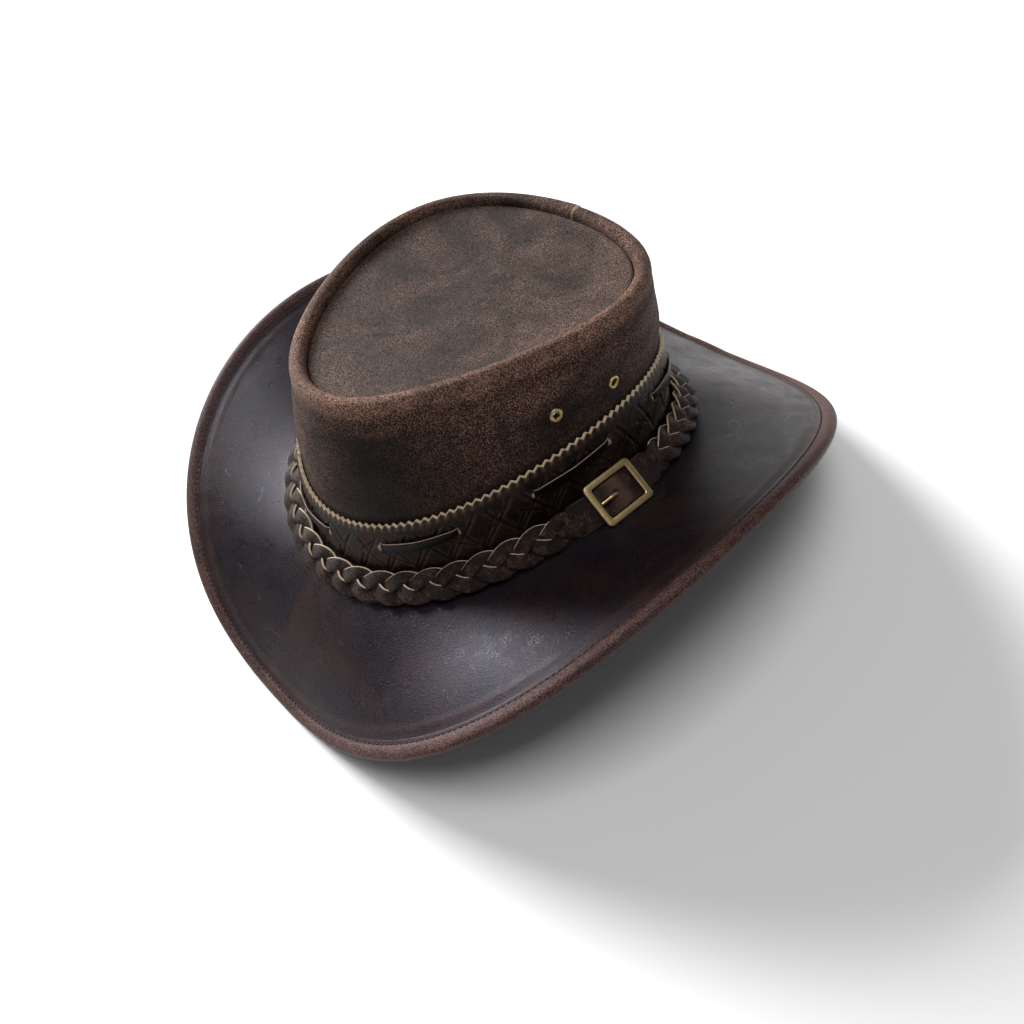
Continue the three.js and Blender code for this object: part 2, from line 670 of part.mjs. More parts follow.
// The prong hooks round the centre bar and lies on the buckle's front bar.
function prongSolid() {
  const hook = PIN_RADIUS + 2 * GAP + PRONG_THICKNESS / 2;
  const route = [];
  for (const turn of HOOK_TURNS) {
    const angle = radians(turn);
    route.push(new THREE.Vector2(hook * Math.cos(angle), PIN_STAND + hook * Math.sin(angle)));
  }
  const rest = BUCKLE_STAND + BUCKLE_THICKNESS / 2 + GAP + PRONG_THICKNESS / 2;
  route.push(new THREE.Vector2(-BUCKLE_LENGTH / 2 + BUCKLE_BAR, rest));
  route.push(new THREE.Vector2(-BUCKLE_LENGTH / 2 + BUCKLE_BAR - PRONG_LAP, rest));
  const rings = route.map((point, i) => {
    const before = route[Math.max(0, i - 1)];
    const after = route[Math.min(route.length - 1, i + 1)];
    const ahead = after.clone().sub(before).normalize();
    const half = PRONG_THICKNESS / 2;
    return [[-1, -1], [1, -1], [1, 1], [-1, 1]].map(
      ([a, b]) =>
        new THREE.Vector3(point.x - ahead.y * b * half, (a * PRONG_WIDTH) / 2, point.y + ahead.x * b * half),
    );
  });
  return barSolid(rings);
}

addPiece('brim', brim(), OILED);
addPiece('brim_binding', brimBinding(), WORN_EDGE);
addPiece('crown_wall', crownWall(), NUBUCK);
addPiece('crown_top', crownTop(), NUBUCK);
addPiece('hat_band', hatBand(), EMBOSSED);
addPiece('lace', lace(), LACE_LEATHER);
addPiece('braided_strap', braidedStrap(), PLAIT_LEATHER);
for (const [name, geometry] of [['buckle_frame', buckleSolid()], ['buckle_prong', prongSolid()]]) {
  const mesh = addPiece(name, geometry, BRASS);
  mesh.applyMatrix4(buckleFrame());
}
for (const place of eyeletPlaces()) {
  const mesh = addPiece(place.name, eyelet(), BRASS);
  const seat = eyeletSeat(place);
  mesh.position.copy(seat.position);
  mesh.quaternion.copy(seat.turn);
}

export default hat;
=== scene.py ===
"""A leather hat with a dished teardrop crown, a curled brim, a laced band and a buckled, plaited strap.

Every piece is built in millimetres in the hat's own frame and then set down in its rest pose, in metres.
The hat faces -Y, and the wearer's left, where the buckle is, is +X. An angle t goes round the hat from +X.
"""

import math
from types import SimpleNamespace

import bmesh
import bpy
import numpy as np
from mathutils import Matrix, Vector


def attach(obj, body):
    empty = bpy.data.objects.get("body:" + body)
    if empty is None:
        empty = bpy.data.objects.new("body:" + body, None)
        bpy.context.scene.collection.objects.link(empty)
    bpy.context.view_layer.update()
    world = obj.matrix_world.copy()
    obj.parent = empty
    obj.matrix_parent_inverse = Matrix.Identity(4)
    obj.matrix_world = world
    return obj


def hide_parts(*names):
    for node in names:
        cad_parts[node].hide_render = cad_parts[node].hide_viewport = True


bl_info = {
    "name": "Leather Hat",
    "version": (1, 0, 0),
    "blender": (4, 5, 0),
    "location": "View3D > Sidebar > Hat",
    "description": "Builds a leather hat with a laced band, a plaited strap and a buckle",
    "category": "Add Mesh",
}

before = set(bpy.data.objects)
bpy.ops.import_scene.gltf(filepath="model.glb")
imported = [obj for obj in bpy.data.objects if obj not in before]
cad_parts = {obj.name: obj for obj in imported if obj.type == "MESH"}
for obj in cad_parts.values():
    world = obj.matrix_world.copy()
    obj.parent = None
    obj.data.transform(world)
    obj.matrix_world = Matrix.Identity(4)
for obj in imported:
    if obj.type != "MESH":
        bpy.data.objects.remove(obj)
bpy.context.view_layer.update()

MM = 0.001

# Steps round the hat
COLUMNS = 432

# Thickness of the leathers
CROWN_LEATHER = 1.8
BRIM_LEATHER = 2.4
BAND_LEATHER = 1.6
LACE_HALF = 0.5

# Pose in which the hat rests by itself on the front and back of its brim
REST_LEAN = math.radians(-3.38)
REST_LIFT = 58.95
REST_FORWARD = 4.97

# Ovals of the band's top edge and of the crown's rim
BAND_HALF_WIDTH = 86.4
BAND_HALF_LENGTH = 103.6
BAND_FLARE = 3.0
RIM_HALF_WIDTH = 71.1
RIM_HALF_LENGTH = 82.7
RIM_FORWARD = 2.5
RIM_TAPER = 0.29
RIM_PINCH = 0.04

# Crown
ROLL_RADIUS = 4.2
ROLL_DROP = 4.2
LIP_DROP = 10.5
NECK_DEPTH = 1.1
WALL_BELLY = 1.2
TOP_DROP = 4.6
TOP_DISH = 5.0
TOP_FLANGE = 5.5
TOP_ROUNDING = 1.2
SEAM_ANGLE = 93.3  # degrees: the wall's lap seam, at the back
SEAM_LAP = 0.55
SEAM_SHOWN = 5.0  # the lap's cut edge shows this far down from the rim
LAP_EDGE = "#a38c72"
WALL_ROWS = 84
RIPPLE = 0.5
TOP_SWELL = 0.35
# Painted light: the top is made paler than the wall, for the light from above.
TOP_PAINTED_LIGHT = 0.62

# Where the wall is painted dark as painted shade: a patch on the front, turned from the key, the strip over
# the band, which is wider at the front, and the strip under the roll. Where it is painted pale: painted
# light on the near side, and rub with painted highlights round the rim, most at the front. Angles are in
# degrees.
WALL_PAINTED_SHADE = {"angle": 296, "spread": 32, "amount": 0.9, "from": 9, "fade": 9}
BAND_PAINTED_SHADE = {"amount": 0.75, "reach": 6, "front_reach": 8}
ROLL_PAINTED_SHADE = {"amount": 0.5, "below": 11, "spread": 3.5}
WALL_PAINTED_LIGHT = {"angle": 168, "spread": 32, "below": 14, "fade": 9, "amount": 0.2}
RIM_RUB_AND_HIGHLIGHT = {"mean": 0.66, "front": 0.3, "angle": 260, "thirds": 0.12, "turn": 40, "below": 1, "spread": 7}

# Brim and binding
EDGE_SETBACK = 2.4
BRIM_TUCK = 7.0
BEAD_RADIUS = 2.9
BEAD_FLATTENED = 0.7
BEAD_SUNK = 1.2  # the bead's middle lies this far under the sheet's face
HEM_REACH = 14.0  # the hem under the brim shows as a faint ridge this far in from the edge
HEM_RISE = 0.22
HEM_SPREAD = 1.6
HEM_RUB = {"amount": 0.2, "spread": 1.8}
EDGE_RUB = {"amount": 0.4, "from": 8, "fade": 2.5}
STITCH_ROW = 7.7
STITCH_SIZE = (1.25, 0.42, 0.36)
STITCH_HEIGHTS = (0.42, -3.35)

# Gaps between neighbouring pieces
GAP = 0.35
FOOT_GAP = 1.2

# Lace and slits
LACE_SPANS = 8
LACE_DROP = 12.0
LACE_CLEAR = 0.5
LACE_EDGE = "#a3907a"

# Plait
PLAIT_SEAT_WIDTH = 17.0
PLAIT_REACH = 14.0
PLAIT_STAND = 2.5
SEAT_LEAST_DROP = 16.0
HALVINGS = 24
PLAIT_REPEATS = 15
BUCKLE_ANGLE = math.radians(-1.2)
BUCKLE_STAND = 3.4

# Sizes that change round the hat: back is more at the back and less at the front, sides is more at both
# sides and less at front and back, quarters and corners are the finer waves.
ROUND = {
    "band_top": {"mean": 43, "back": 5.2, "sides": 11.9, "quarters": 0, "corners": 0},
    "band_foot": {"mean": 0, "back": -0.6, "sides": 7.2, "quarters": 0, "corners": 0},
    "rim_height": {"mean": 96.1, "back": 3.3, "sides": 2.7, "quarters": 0, "corners": 0},
    "brim_width": {"mean": 85.5, "back": 0.1, "sides": -2.4, "quarters": 0, "corners": 0},
    "brim_slope": {"mean": -6.2, "back": 7.8, "sides": 28.1, "quarters": -1.6, "corners": -1.9},
    "brim_curl": {"mean": -6, "back": 4, "sides": 10, "quarters": 0, "corners": 0},
}

# Length of the band, which the tooling is laid out along, and the steps of each of its teeth
BAND_ROUND = 612
TOOTH_STEPS = 6

# The frayed strip under the teeth, the rub of the teeth, and the rub of the tooling's shoulders, which is
# also a painted highlight on the relief
FRINGE = {"drop": 3.0, "spread": 1.2, "amount": 0.36}
TOOTH_RUB = 0.55
SHOULDER_RUB_AND_HIGHLIGHT = 0.27
SHOULDER_RISE = 0.35

# The band's swell off the crown, where the lace runs behind it
BAND_SWELL = {"drop": [0, 8, 16, 26, 60], "swell": [0, 1.9, 1.9, 0.6, 0.4]}

# Strokes of the tooling: way they lean, spacing, shift, slant in degrees, and the drops they run between
TOOLED_STROKES = [
    (1, 17, 0, 57, 7, 32),
    (-1, 17, 4, 57, 7, 32),
    (1, 17, 6.5, 64, 17, 30),
    (-1, 34, 13, 38, 15, 27),
    (1, 34, 21, 38, 6, 16),
]
STROKE_HALF = 0.85
STROKE_FADE = 1.2
SHOULDER_AT = 1.5
SHOULDER_HALF = 0.5

# One repeat of the lace: degrees along it, 0 behind the band to 1 in front of it, and its width. Its
# section is up as a share of that width, and off the band in millimetres.
LACE_ROUTE = {
    "at": [-25.5, -23.0, -20.4, -17.5, -9.8, -2.1, 0.8, 3.4, 5.9, 12.7, 19.5],
    "out": [0, 0.25, 0.85, 1, 1.25, 1, 0.85, 0.25, 0, 0, 0],
    "width": [4.0, 3.6, 4.0, 5.0, 5.6, 5.0, 4.0, 3.6, 4.0, 5.2, 5.2],
}
LACE_SECTION = {
    "up": [-0.5, 0, 0.49, 0.5, 0.47, 0.2, -0.2, -0.5],
    "off": [-0.4, -0.5, -0.4, 0.1, 0.42, 0.6, 0.6, 0.3],
}
# Only the upper side's cut edge is pale. The lower side's takes the lace's dark colour: painted shade.
LACE_CUT_STEP = 3
SLIT_ANGLES = [-21.9, 2.3]
SLIT_HALF = 3.2
SLIT_REACH = 2.3
LIP_PROUD = 1.0
LIP_SUNK = 0.8
LIP_RUB = 0.85
LIP_RUB_FROM = 0.7
SLIT_NEAR = 8.0

# The strap through the buckle: along it from the middle, its height over the plait's middle, and its width
STRAP_ROUTE = {
    "along": [-27, -20, -16, -12.8, -9.5, -6, -2.4, 0, 2.4, 6, 9.5, 12.8, 16, 20, 27],
    "height": [0, 0.3, 0.9, 1.3, 1.7, 2.8, 4.2, 4.5, 4.2, 2.8, 1.7, 1.3, 0.9, 0.3, 0],
    "width": [15.4, 16, 15.8, 15.4, 15, 15, 15, 15, 15, 15, 15, 15.4, 15.8, 16, 15.4],
}
TAB_END = 27.0

# Low swells of the brim's sheet between the crown and the edge
BRIM_WAVES = {"turns": [3, 5, 8], "phase": [0.8, 2.1, 4.4], "height": [0.8, 0.5, 0.3]}

# The buckle's corners, and its tongue from the bar to just short of the frame's end
BUCKLE_CORNER = 2.2
WINDOW_CORNER = 0.9
BUCKLE_BEVEL = 0.55
TONGUE_START = 1.2
TONGUE_SHORT = 2.4
TONGUE_ROUTE = {"share": [0, 0.15, 0.4, 0.8, 1], "height": [4.9, 6.0, 6.1, 5.5, 5.25]}

# Eyelets: the hole for each, its rolled ring, and its barrel by distance from its axis and height
EYELET_HOLE = 2.3
EYELET_RING = {"radius": 2.45, "half_width": 0.85, "half_height": 0.55, "rise": 0.4}
EYELET_BARREL = {"radius": [1.55, 1.9, 2.9, 2.9, 2.3, 2.3], "height": [-3.4, -3.7, -3.1, -2.6, -2.4, 0.1]}
EYELETS = [
    {"node": "eyelet_left_front", "t": math.radians(-9.5), "above": 15.5},
    {"node": "eyelet_left_back", "t": math.radians(10), "above": 12.4},
    {"node": "eyelet_right_front", "t": math.pi - math.radians(-9.5), "above": 15.5},
    {"node": "eyelet_right_back", "t": math.pi - math.radians(10), "above": 12.4},
]

# Camera, in the hat's own frame
CAMERA_PLACE = (328.507, -220.802, 332.8)
CAMERA_AZIMUTH = math.radians(55.63)
CAMERA_ELEVATION = math.radians(44.81)
CAMERA_ROLL = math.radians(11.35)
CAMERA_LENS = 32.95

# Softboxes, far off so that the floor is evenly lit: place and size in metres
KEY_SOFTBOX = {"place": (-6.0, -0.1, 3.15), "size": (3.2, 2.0)}
TOP_SOFTBOX = {"place": (0.9, -0.3, 7.2), "size": (3.9, 3.9)}
LIT_POINT = (0, 0, 0.08)

# Brightness of the surround where the camera sees it, which is paler than what lights the hat
BACKDROP = 0.8


def srgb(code):
    """Turns an sRGB hex colour into the linear colour that a shader takes."""
    parts = [int(code[i : i + 2], 16) / 255 for i in (1, 3, 5)]
    linear = [c / 12.92 if c <= 0.04045 else ((c + 0.055) / 1.055) ** 2.4 for c in parts]
    return (*linear, 1.0)


# Settings

def length_setting(label, description, value):
    return bpy.props.FloatProperty(
        name=label, description=description, default=value, unit="LENGTH", precision=4
    )


def colour_setting(label, description, code):
    return bpy.props.FloatVectorProperty(
        name=label, description=description, default=srgb(code), size=4, subtype="COLOR", min=0, max=1
    )


class CrownSettings(bpy.types.PropertyGroup):
    """Leather of the crown's wall and top."""

    thickness: length_setting("Thickness", "Thickness of the crown's leather", CROWN_LEATHER * MM)
    nap: colour_setting("Nap", "Brown of the brushed nap", "#372420")
    # The shade colour also gives painted shade under the roll, over the band and on the front of the wall.
    shade: colour_setting("Shade", "Dark patches where oil has soaked in", "#0e0b0a")
    russet: colour_setting("Russet", "Reddish areas where the oil is thin", "#573528")
    # The rubbed colour also gives painted highlights on the rim and painted light on the near side of the
    # wall.
    rubbed: colour_setting("Rubbed", "Worn highlights on the rolled rim", "#9a7766")
    # Painted light: the paler colour of the top, which is lit from above.
    lit_top: colour_setting("Dusty", "Greyer wear of the top", "#78645a")


class BrimSettings(bpy.types.PropertyGroup):
    """Leather of the brim and its bound edge."""

    thickness: length_setting("Thickness", "Thickness of the brim's sheet", BRIM_LEATHER * MM)
    stitch_pitch: length_setting("Stitch pitch", "Distance between stitches along the edge", 3.3 * MM)
    face: colour_setting("Face", "Colour of the oiled face", "#19141a")
    warm: colour_setting("Warm", "Brown patches where the oil is thin", "#291b19")
    edge: colour_setting("Edge", "Rubbed brown of the bound edge", "#513830")
    thread: colour_setting("Thread", "Colour of the edge's stitches", "#1d1412")


class BandSettings(bpy.types.PropertyGroup):
    """Leather of the band and its lace."""

    thickness: length_setting("Thickness", "Thickness of the band's leather", BAND_LEATHER * MM)
    tooth_depth: length_setting("Tooth depth", "Depth of the pinked teeth", 1.7 * MM)
    teeth: bpy.props.IntProperty(name="Teeth", description="Number of teeth round the band", default=143)
    groove: length_setting("Groove", "Depth of the tooled lines", 0.75 * MM)
    face: colour_setting("Face", "Colour of the tooled face", "#100a08")
    raised: colour_setting("Raised", "Brown where the relief is rubbed", "#38271f")
    fringe: colour_setting("Fringe", "Brown of the frayed strip under the teeth", "#5b4032")
    cut: colour_setting("Cut edge", "Raw leather at the cut edges", "#dcc8aa")
    lace: colour_setting("Lace", "Colour of the lace", "#0c0a0a")


class PlaitSettings(bpy.types.PropertyGroup):
    """Leather of the plait and its strap."""

    strand_width: length_setting("Strand width", "Width of one strand of the plait", 7.3 * MM)
    strand_thickness: length_setting("Strand thickness", "Thickness of the strands and the strap", 1.8 * MM)
    swing: length_setting("Swing", "How far each strand swings to either side", 4.7 * MM)
    weave: length_setting("Weave", "How far each strand goes in and out", 1.35 * MM)
    face: colour_setting("Face", "Brown of the grain side", "#2d1c16")
    pores: colour_setting("Pores", "Dark of the grain's pores", "#0b0706")
    scuffed: colour_setting("Scuffed", "Lighter brown where the strands are rubbed", "#705244")
    cut: colour_setting("Cut edge", "Raw leather at the strands' edges", "#c9b497")


class BrassSettings(bpy.types.PropertyGroup):
    """Metal of the buckle and the eyelets."""

    bar: length_setting("Bar", "Width of the buckle's bars", 3.4 * MM)
    thickness: length_setting("Thickness", "Thickness of the buckle", 2.2 * MM)
    length: length_setting("Length", "Length of the buckle along the strap", 29.5 * MM)
    width: length_setting("Width", "Width of the buckle across the strap", 23 * MM)
    bright: colour_setting("Bright", "Rubbed brass at the edges", "#efd49c")
    dull: colour_setting("Dull", "Tarnish in the hollows", "#5f4526")


class StageSettings(bpy.types.PropertyGroup):
    """Floor and lights."""

    floor_size: length_setting("Floor size", "Width of the floor", 10.0)
    floor: colour_setting("Floor", "Colour of the floor", "#fafafa")
    key_power: bpy.props.FloatProperty(
        name="Key", description="Power of the big softbox behind the hat", default=900.0, unit="POWER"
    )
    fill_power: bpy.props.FloatProperty(
        name="Fill", description="Power of the softbox overhead", default=235.0, unit="POWER"
    )
    sky: bpy.props.FloatProperty(name="Sky", description="How much the white surround lights", default=0.13)


class HatSettings(bpy.types.PropertyGroup):
    """All settings of the hat."""

    crown: bpy.props.PointerProperty(type=CrownSettings)
    brim: bpy.props.PointerProperty(type=BrimSettings)
    band: bpy.props.PointerProperty(type=BandSettings)
    plait: bpy.props.PointerProperty(type=PlaitSettings)
    brass: bpy.props.PointerProperty(type=BrassSettings)
    stage: bpy.props.PointerProperty(type=StageSettings)


# Geometry of the hat, in millimetres. Angles and distances may be arrays.

def around(name, t):
    """A size that changes round the hat, at the angle t."""
    row = ROUND[name]
    waves = row["quarters"] * np.sin(3 * t) + row["corners"] * np.cos(4 * t)
    return row["mean"] + row["back"] * np.sin(t) + row["sides"] * np.cos(2 * t) + waves


def band_oval(t):
    return BAND_HALF_WIDTH * np.cos(t), BAND_HALF_LENGTH * np.sin(t)


def rim_oval(t):
    width = RIM_HALF_WIDTH * (1 + RIM_TAPER * np.sin(t) - RIM_PINCH * np.cos(2 * t))
    return width * np.cos(t), RIM_HALF_LENGTH * np.sin(t) - RIM_FORWARD


def unit(vectors):
    """The same directions at length 1."""
    return vectors / np.linalg.norm(vectors, axis=-1, keepdims=True)


def beside(oval, t, out, height):
    """A point beside an oval: out along its horizontal normal, at a height."""
    t, out, height = np.broadcast_arrays(t, out, height)
    step = 1e-4
    x, y = oval(t)
    before, after = oval(t - step), oval(t + step)
    ahead = np.hypot(after[0] - before[0], after[1] - before[1])
    normal_x, normal_y = (after[1] - before[1]) / ahead, (before[0] - after[0]) / ahead
    return np.stack([x + out * normal_x, y + out * normal_y, height + 0.0], axis=-1)


def rest_height(points):
    """Height over the floor, in millimetres, of points of the hat's own frame."""
    return points[..., 1] * math.sin(REST_LEAN) + points[..., 2] * math.cos(REST_LEAN) + REST_LIFT


def free_brim_point(t, along, above):
    """A point of the brim before it is pressed: along the sheet from the crown's foot, above its face."""
    curl = around("brim_curl", t)
    turned = curl * along / around("brim_width", t)
    start = around("brim_slope", t) - curl / 2
    half = np.radians(turned / 2)
    chord = along * np.sinc(half / np.pi)
    middle, end = np.radians(start + turned / 2), np.radians(start + turned)
    out = chord * np.cos(middle) - above * np.sin(end)
    rise = chord * np.sin(middle) + above * np.cos(end)
    return beside(band_oval, t, BAND_FLARE + out, around("band_foot", t) + rise)


def brim_point(t, along, above):
    """The same with the low swells of the sheet, and bent up where the edge rests on the floor."""
    t, along, above = np.broadcast_arrays(t, along, above)
    width = around("brim_width", t)
    bead = free_brim_point(t, width - BEAD_RADIUS, np.full(t.shape, -BEAD_SUNK))
    sunk = np.maximum(0, BEAD_RADIUS - BEAD_FLATTENED - rest_height(bead))
    share = np.clip(along / width, 0, 1)
    point = free_brim_point(t, along, above)
    point[..., 2] += sunk * share**3
    rows = zip(BRIM_WAVES["turns"], BRIM_WAVES["phase"], BRIM_WAVES["height"])
    waves = sum(height * np.sin(turns * t + phase + 2 * share) for turns, phase, height in rows)
    point[..., 2] += waves * np.sin(np.pi * share) ** 2
    return point


def band_point(t, drop, off):
    """A point of the band's outer face, a distance below its top edge, with a clearance off the face."""
    top = around("band_top", t)
    flare = BAND_FLARE * drop / (top - around("band_foot", t))
    shifts = (-3, -1, 1, 3)
    swell = sum(np.interp(drop + d, BAND_SWELL["drop"], BAND_SWELL["swell"]) for d in shifts) / len(shifts)
    return beside(band_oval, t, flare + swell + off, top - drop)


def band_foot(t):
    """How far below its top edge the band ends, just clear of the brim."""
    inside = brim_point(t, -BAND_LEATHER, FOOT_GAP)
    outside = brim_point(t, 1.0, FOOT_GAP)
    return around("band_top", t) - np.maximum(inside[..., 2], outside[..., 2])


def wall_point(t, share):
    """A point of the crown's outer face between the band's top edge, 0, and the roll, 1."""
    low = beside(band_oval, t, -BAND_LEATHER - GAP, around("band_top", t))
    high = beside(rim_oval, t, 2 * ROLL_RADIUS, around("rim_height", t) - ROLL_DROP)
    belly = WALL_BELLY * np.sin(np.pi * share) - NECK_DEPTH * share**6
    out = beside(band_oval, t, 1, 0) - beside(band_oval, t, 0, 0)
    share, belly = np.asarray(share)[..., None], np.asarray(belly)[..., None]
    return low + (high - low) * share + out * belly


def plait_seat(t):
    """The plait's middle between its foot on the brim and its top on the band, and its three directions."""
    foot = brim_point(t, PLAIT_REACH, 0)
    low, high = np.full(t.shape, SEAT_LEAST_DROP), band_foot(t)
    for _ in range(HALVINGS):
        drop = (low + high) / 2
        far = np.linalg.norm(band_point(t, drop, 0) - foot, axis=-1) > PLAIT_SEAT_WIDTH
        low, high = np.where(far, drop, low), np.where(far, high, drop)
    top = band_point(t, low, 0)
    up = unit(top - foot)
    step = 1e-3
    ahead = unit(brim_point(t + step, PLAIT_REACH, 0) - brim_point(t - step, PLAIT_REACH, 0))
    off = unit(np.cross(ahead, up))
    return (foot + top) / 2 + off * PLAIT_STAND, ahead, up, off


PLAIT_ANGLES = BUCKLE_ANGLE + np.linspace(0, 2 * math.pi, 721)
PLAIT_MIDDLES = plait_seat(PLAIT_ANGLES)[0]
PLAIT_LENGTHS = np.concatenate([[0], np.cumsum(np.linalg.norm(np.diff(PLAIT_MIDDLES, axis=0), axis=1))])
PLAIT_ROUND = PLAIT_LENGTHS[-1]


def plait_point(along, up, off):
    """A point in the plait's own frame: along it from the buckle, up across it, and off the crown."""
    t = np.interp(np.mod(along, PLAIT_ROUND), PLAIT_LENGTHS, PLAIT_ANGLES)
    middle, _, up_way, off_way = plait_seat(t)
    return middle + up_way * np.asarray(up)[..., None] + off_way * np.asarray(off)[..., None]


def buckle_frame():
    """The buckle's frame: x along the strap towards the back, y up across it, z off the crown."""
    middle, ahead, _, off = (v[0] for v in plait_seat(np.array([BUCKLE_ANGLE])))
    return middle, ahead, unit(np.cross(off, ahead)), off


def from_buckle(points):
    """Points of the buckle's frame in the hat's own frame."""
    middle, x_way, y_way, z_way = buckle_frame()
    return middle + points[..., :1] * x_way + points[..., 1:2] * y_way + points[..., 2:] * z_way


def at_rest(points):
    """Sets points of the hat's own frame down in the rest pose, in metres."""
    y, z = points[..., 1], points[..., 2]
    turned_y = y * math.cos(REST_LEAN) - z * math.sin(REST_LEAN) - REST_FORWARD
    turned_z = y * math.sin(REST_LEAN) + z * math.cos(REST_LEAN) + REST_LIFT
    return np.stack([points[..., 0], turned_y, turned_z], axis=-1) * MM


def resampled(rows, count, smooth=0):
    """Even steps along each row of points, rows x steps x 3, after some passes of smoothing."""
    rows = rows.copy()
    for _ in range(smooth):
        rows[:, 1:-1] = rows[:, 1:-1] / 2 + (rows[:, :-2] + rows[:, 2:]) / 4
    steps = np.linalg.norm(np.diff(rows, axis=1), axis=-1)
    places = np.concatenate([np.zeros((len(rows), 1)), np.cumsum(steps, axis=1)], axis=1)
    made = np.empty((len(rows), count, 3))
    for i, row in enumerate(rows):
        even = np.linspace(0, places[i, -1], count)
        made[i] = np.stack([np.interp(even, places[i], row[:, k]) for k in range(3)], axis=-1)
    return made


# Meshes

def grid_mesh(points, loop_u, loop_v, wear_and_painted_light=None, index_of=None):
    """A bmesh grid whose vertices are placed by a table of points, u x v, in millimetres.

    It is closed round u or v where that is asked. The UV map is in metres along and across the sheet, wear
    goes into an attribute of that name, and index_of gives the material index of each step of u and v.
    """
    if loop_u:
        points = np.concatenate([points, points[:1]], axis=0)
        wear_and_painted_light = None if wear_and_painted_light is None else np.concatenate([wear_and_painted_light, wear_and_painted_light[:1]], axis=0)
    if loop_v:
        points = np.concatenate([points, points[:, :1]], axis=1)
        wear_and_painted_light = None if wear_and_painted_light is None else np.concatenate([wear_and_painted_light, wear_and_painted_light[:, :1]], axis=1)
    columns, rows = points.shape[0] - 1, points.shape[1] - 1
    along = np.linalg.norm(np.diff(points, axis=0), axis=-1).mean(axis=1)
    across = np.linalg.norm(np.diff(points, axis=1), axis=-1)
    u_map = np.concatenate([[0], np.cumsum(along)]) * MM
    v_map = np.concatenate([np.zeros((columns + 1, 1)), np.cumsum(across, axis=1)], axis=1) * MM
    placed = at_rest(points)

    bm = bmesh.new()
    bmesh.ops.create_grid(bm, x_segments=columns, y_segments=rows, size=0.5)
    uv = bm.loops.layers.uv.new("UVMap")
    # This attribute holds rub, and on some pieces painted highlights, painted light and painted shade.
    worn_and_lit = bm.verts.layers.float.new("wear_and_painted_light")
    cells = {}
    for vert in bm.verts:
        i, j = round((vert.co.x + 0.5) * columns), round((vert.co.y + 0.5) * rows)
        cells[vert] = (i, j)
        vert.co = placed[i, j]
        vert[worn_and_lit] = 0.0 if wear_and_painted_light is None else float(wear_and_painted_light[i, j])
    for face in bm.faces:
        face.smooth = True
        for loop in face.loops:
            i, j = cells[loop.vert]
            loop[uv].uv = (u_map[i], v_map[i, j])
        if index_of:
            face.material_index = index_of(*np.min([cells[v] for v in face.verts], axis=0))
    return bm, cells


def close_seams(bm):
    """Merges what meets, and turns a closed shell outwards."""
    bmesh.ops.remove_doubles(bm, verts=bm.verts, dist=1e-6)
    bmesh.ops.dissolve_degenerate(bm, dist=1e-7, edges=bm.edges)
    if all(edge.is_manifold for edge in bm.edges) and bm.calc_volume(signed=True) < 0:
        bmesh.ops.reverse_faces(bm, faces=bm.faces)


def close_seams_round(bm, cells, count):
    """Joins the first and last columns of a grid, and keeps the table of places for what remains."""
    first = {cell[1]: vert for vert, cell in cells.items() if cell[0] == 0}
    pairs = {vert: first[cell[1]] for vert, cell in cells.items() if cell[0] == count}
    bmesh.ops.weld_verts(bm, targetmap=pairs)
    for vert in pairs:
        del cells[vert]


def repeated(shape, matrices):
    """Copies of a small closed shape, one placed by each matrix, smooth and in one bmesh."""
    for face in shape.faces:
        face.smooth = True
    mesh = bpy.data.meshes.new("shape")
    shape.to_mesh(mesh)
    shape.free()
    bm = bmesh.new()
    placed = Matrix.Identity(4)
    for matrix in matrices:
        mesh.transform(matrix @ placed.inverted())
        placed = matrix
        bm.from_mesh(mesh)
    bpy.data.meshes.remove(mesh)
    return bm


def object_from(bm, name, *materials):
    """Makes a finished bmesh an object at the origin."""
    mesh = bpy.data.meshes.new(name)
    bm.to_mesh(mesh)
    bm.free()
    for material in materials:
        mesh.materials.append(material)
    piece = bpy.data.objects.new(name, mesh)
    bpy.context.scene.collection.objects.link(piece)
    return piece


def thicken(piece, thickness, rim_index=0):
    """Gives a sheet its thickness, inwards from its outer face, and keeps its cut edges crisp."""
    solid = piece.modifiers.new("thickness", "SOLIDIFY")
    solid.thickness = thickness
    solid.offset = -1
    solid.use_even_offset = False
    solid.material_offset_rim = rim_index
    view = piece.evaluated_get(bpy.context.evaluated_depsgraph_get())
    made = bpy.data.meshes.new_from_object(view)
    piece.modifiers.clear()
    piece.data = made
    crisp_edges(piece)


def crisp_edges(piece, limit=math.radians(42)):
    """Marks every edge that is sharper than the limit, so that shading doesn't round it."""
    bm = bmesh.new()
    bm.from_mesh(piece.data)
    for edge in bm.edges:
        edge.smooth = edge.calc_face_angle(0) < limit
    bm.to_mesh(piece.data)
    bm.free()


def settle(piece, slot, *nodes):
    """Fixes a finished piece to the frame, which it rides on, and hides the parts that it stands for. The
    slot is not used.
    """
    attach(piece, "root")
    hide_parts(*nodes)


# Materials

LEATHER_IOR = 1.46


def add_node(tree, kind, inputs=None, out=0, **settings):
    """Adds a node with its settings and links, and gives one of its outputs.

    An input is a value, or the output that feeds it.
    """
    made = tree.nodes.new("ShaderNode" + kind)
    for key, value in settings.items():
        setattr(made, key, value)
    for key, value in (inputs or {}).items():
        if isinstance(value, bpy.types.NodeSocket):
            tree.links.new(value, made.inputs[key])
        else:
            made.inputs[key].default_value = value
    return made.outputs[out] if made.outputs else None


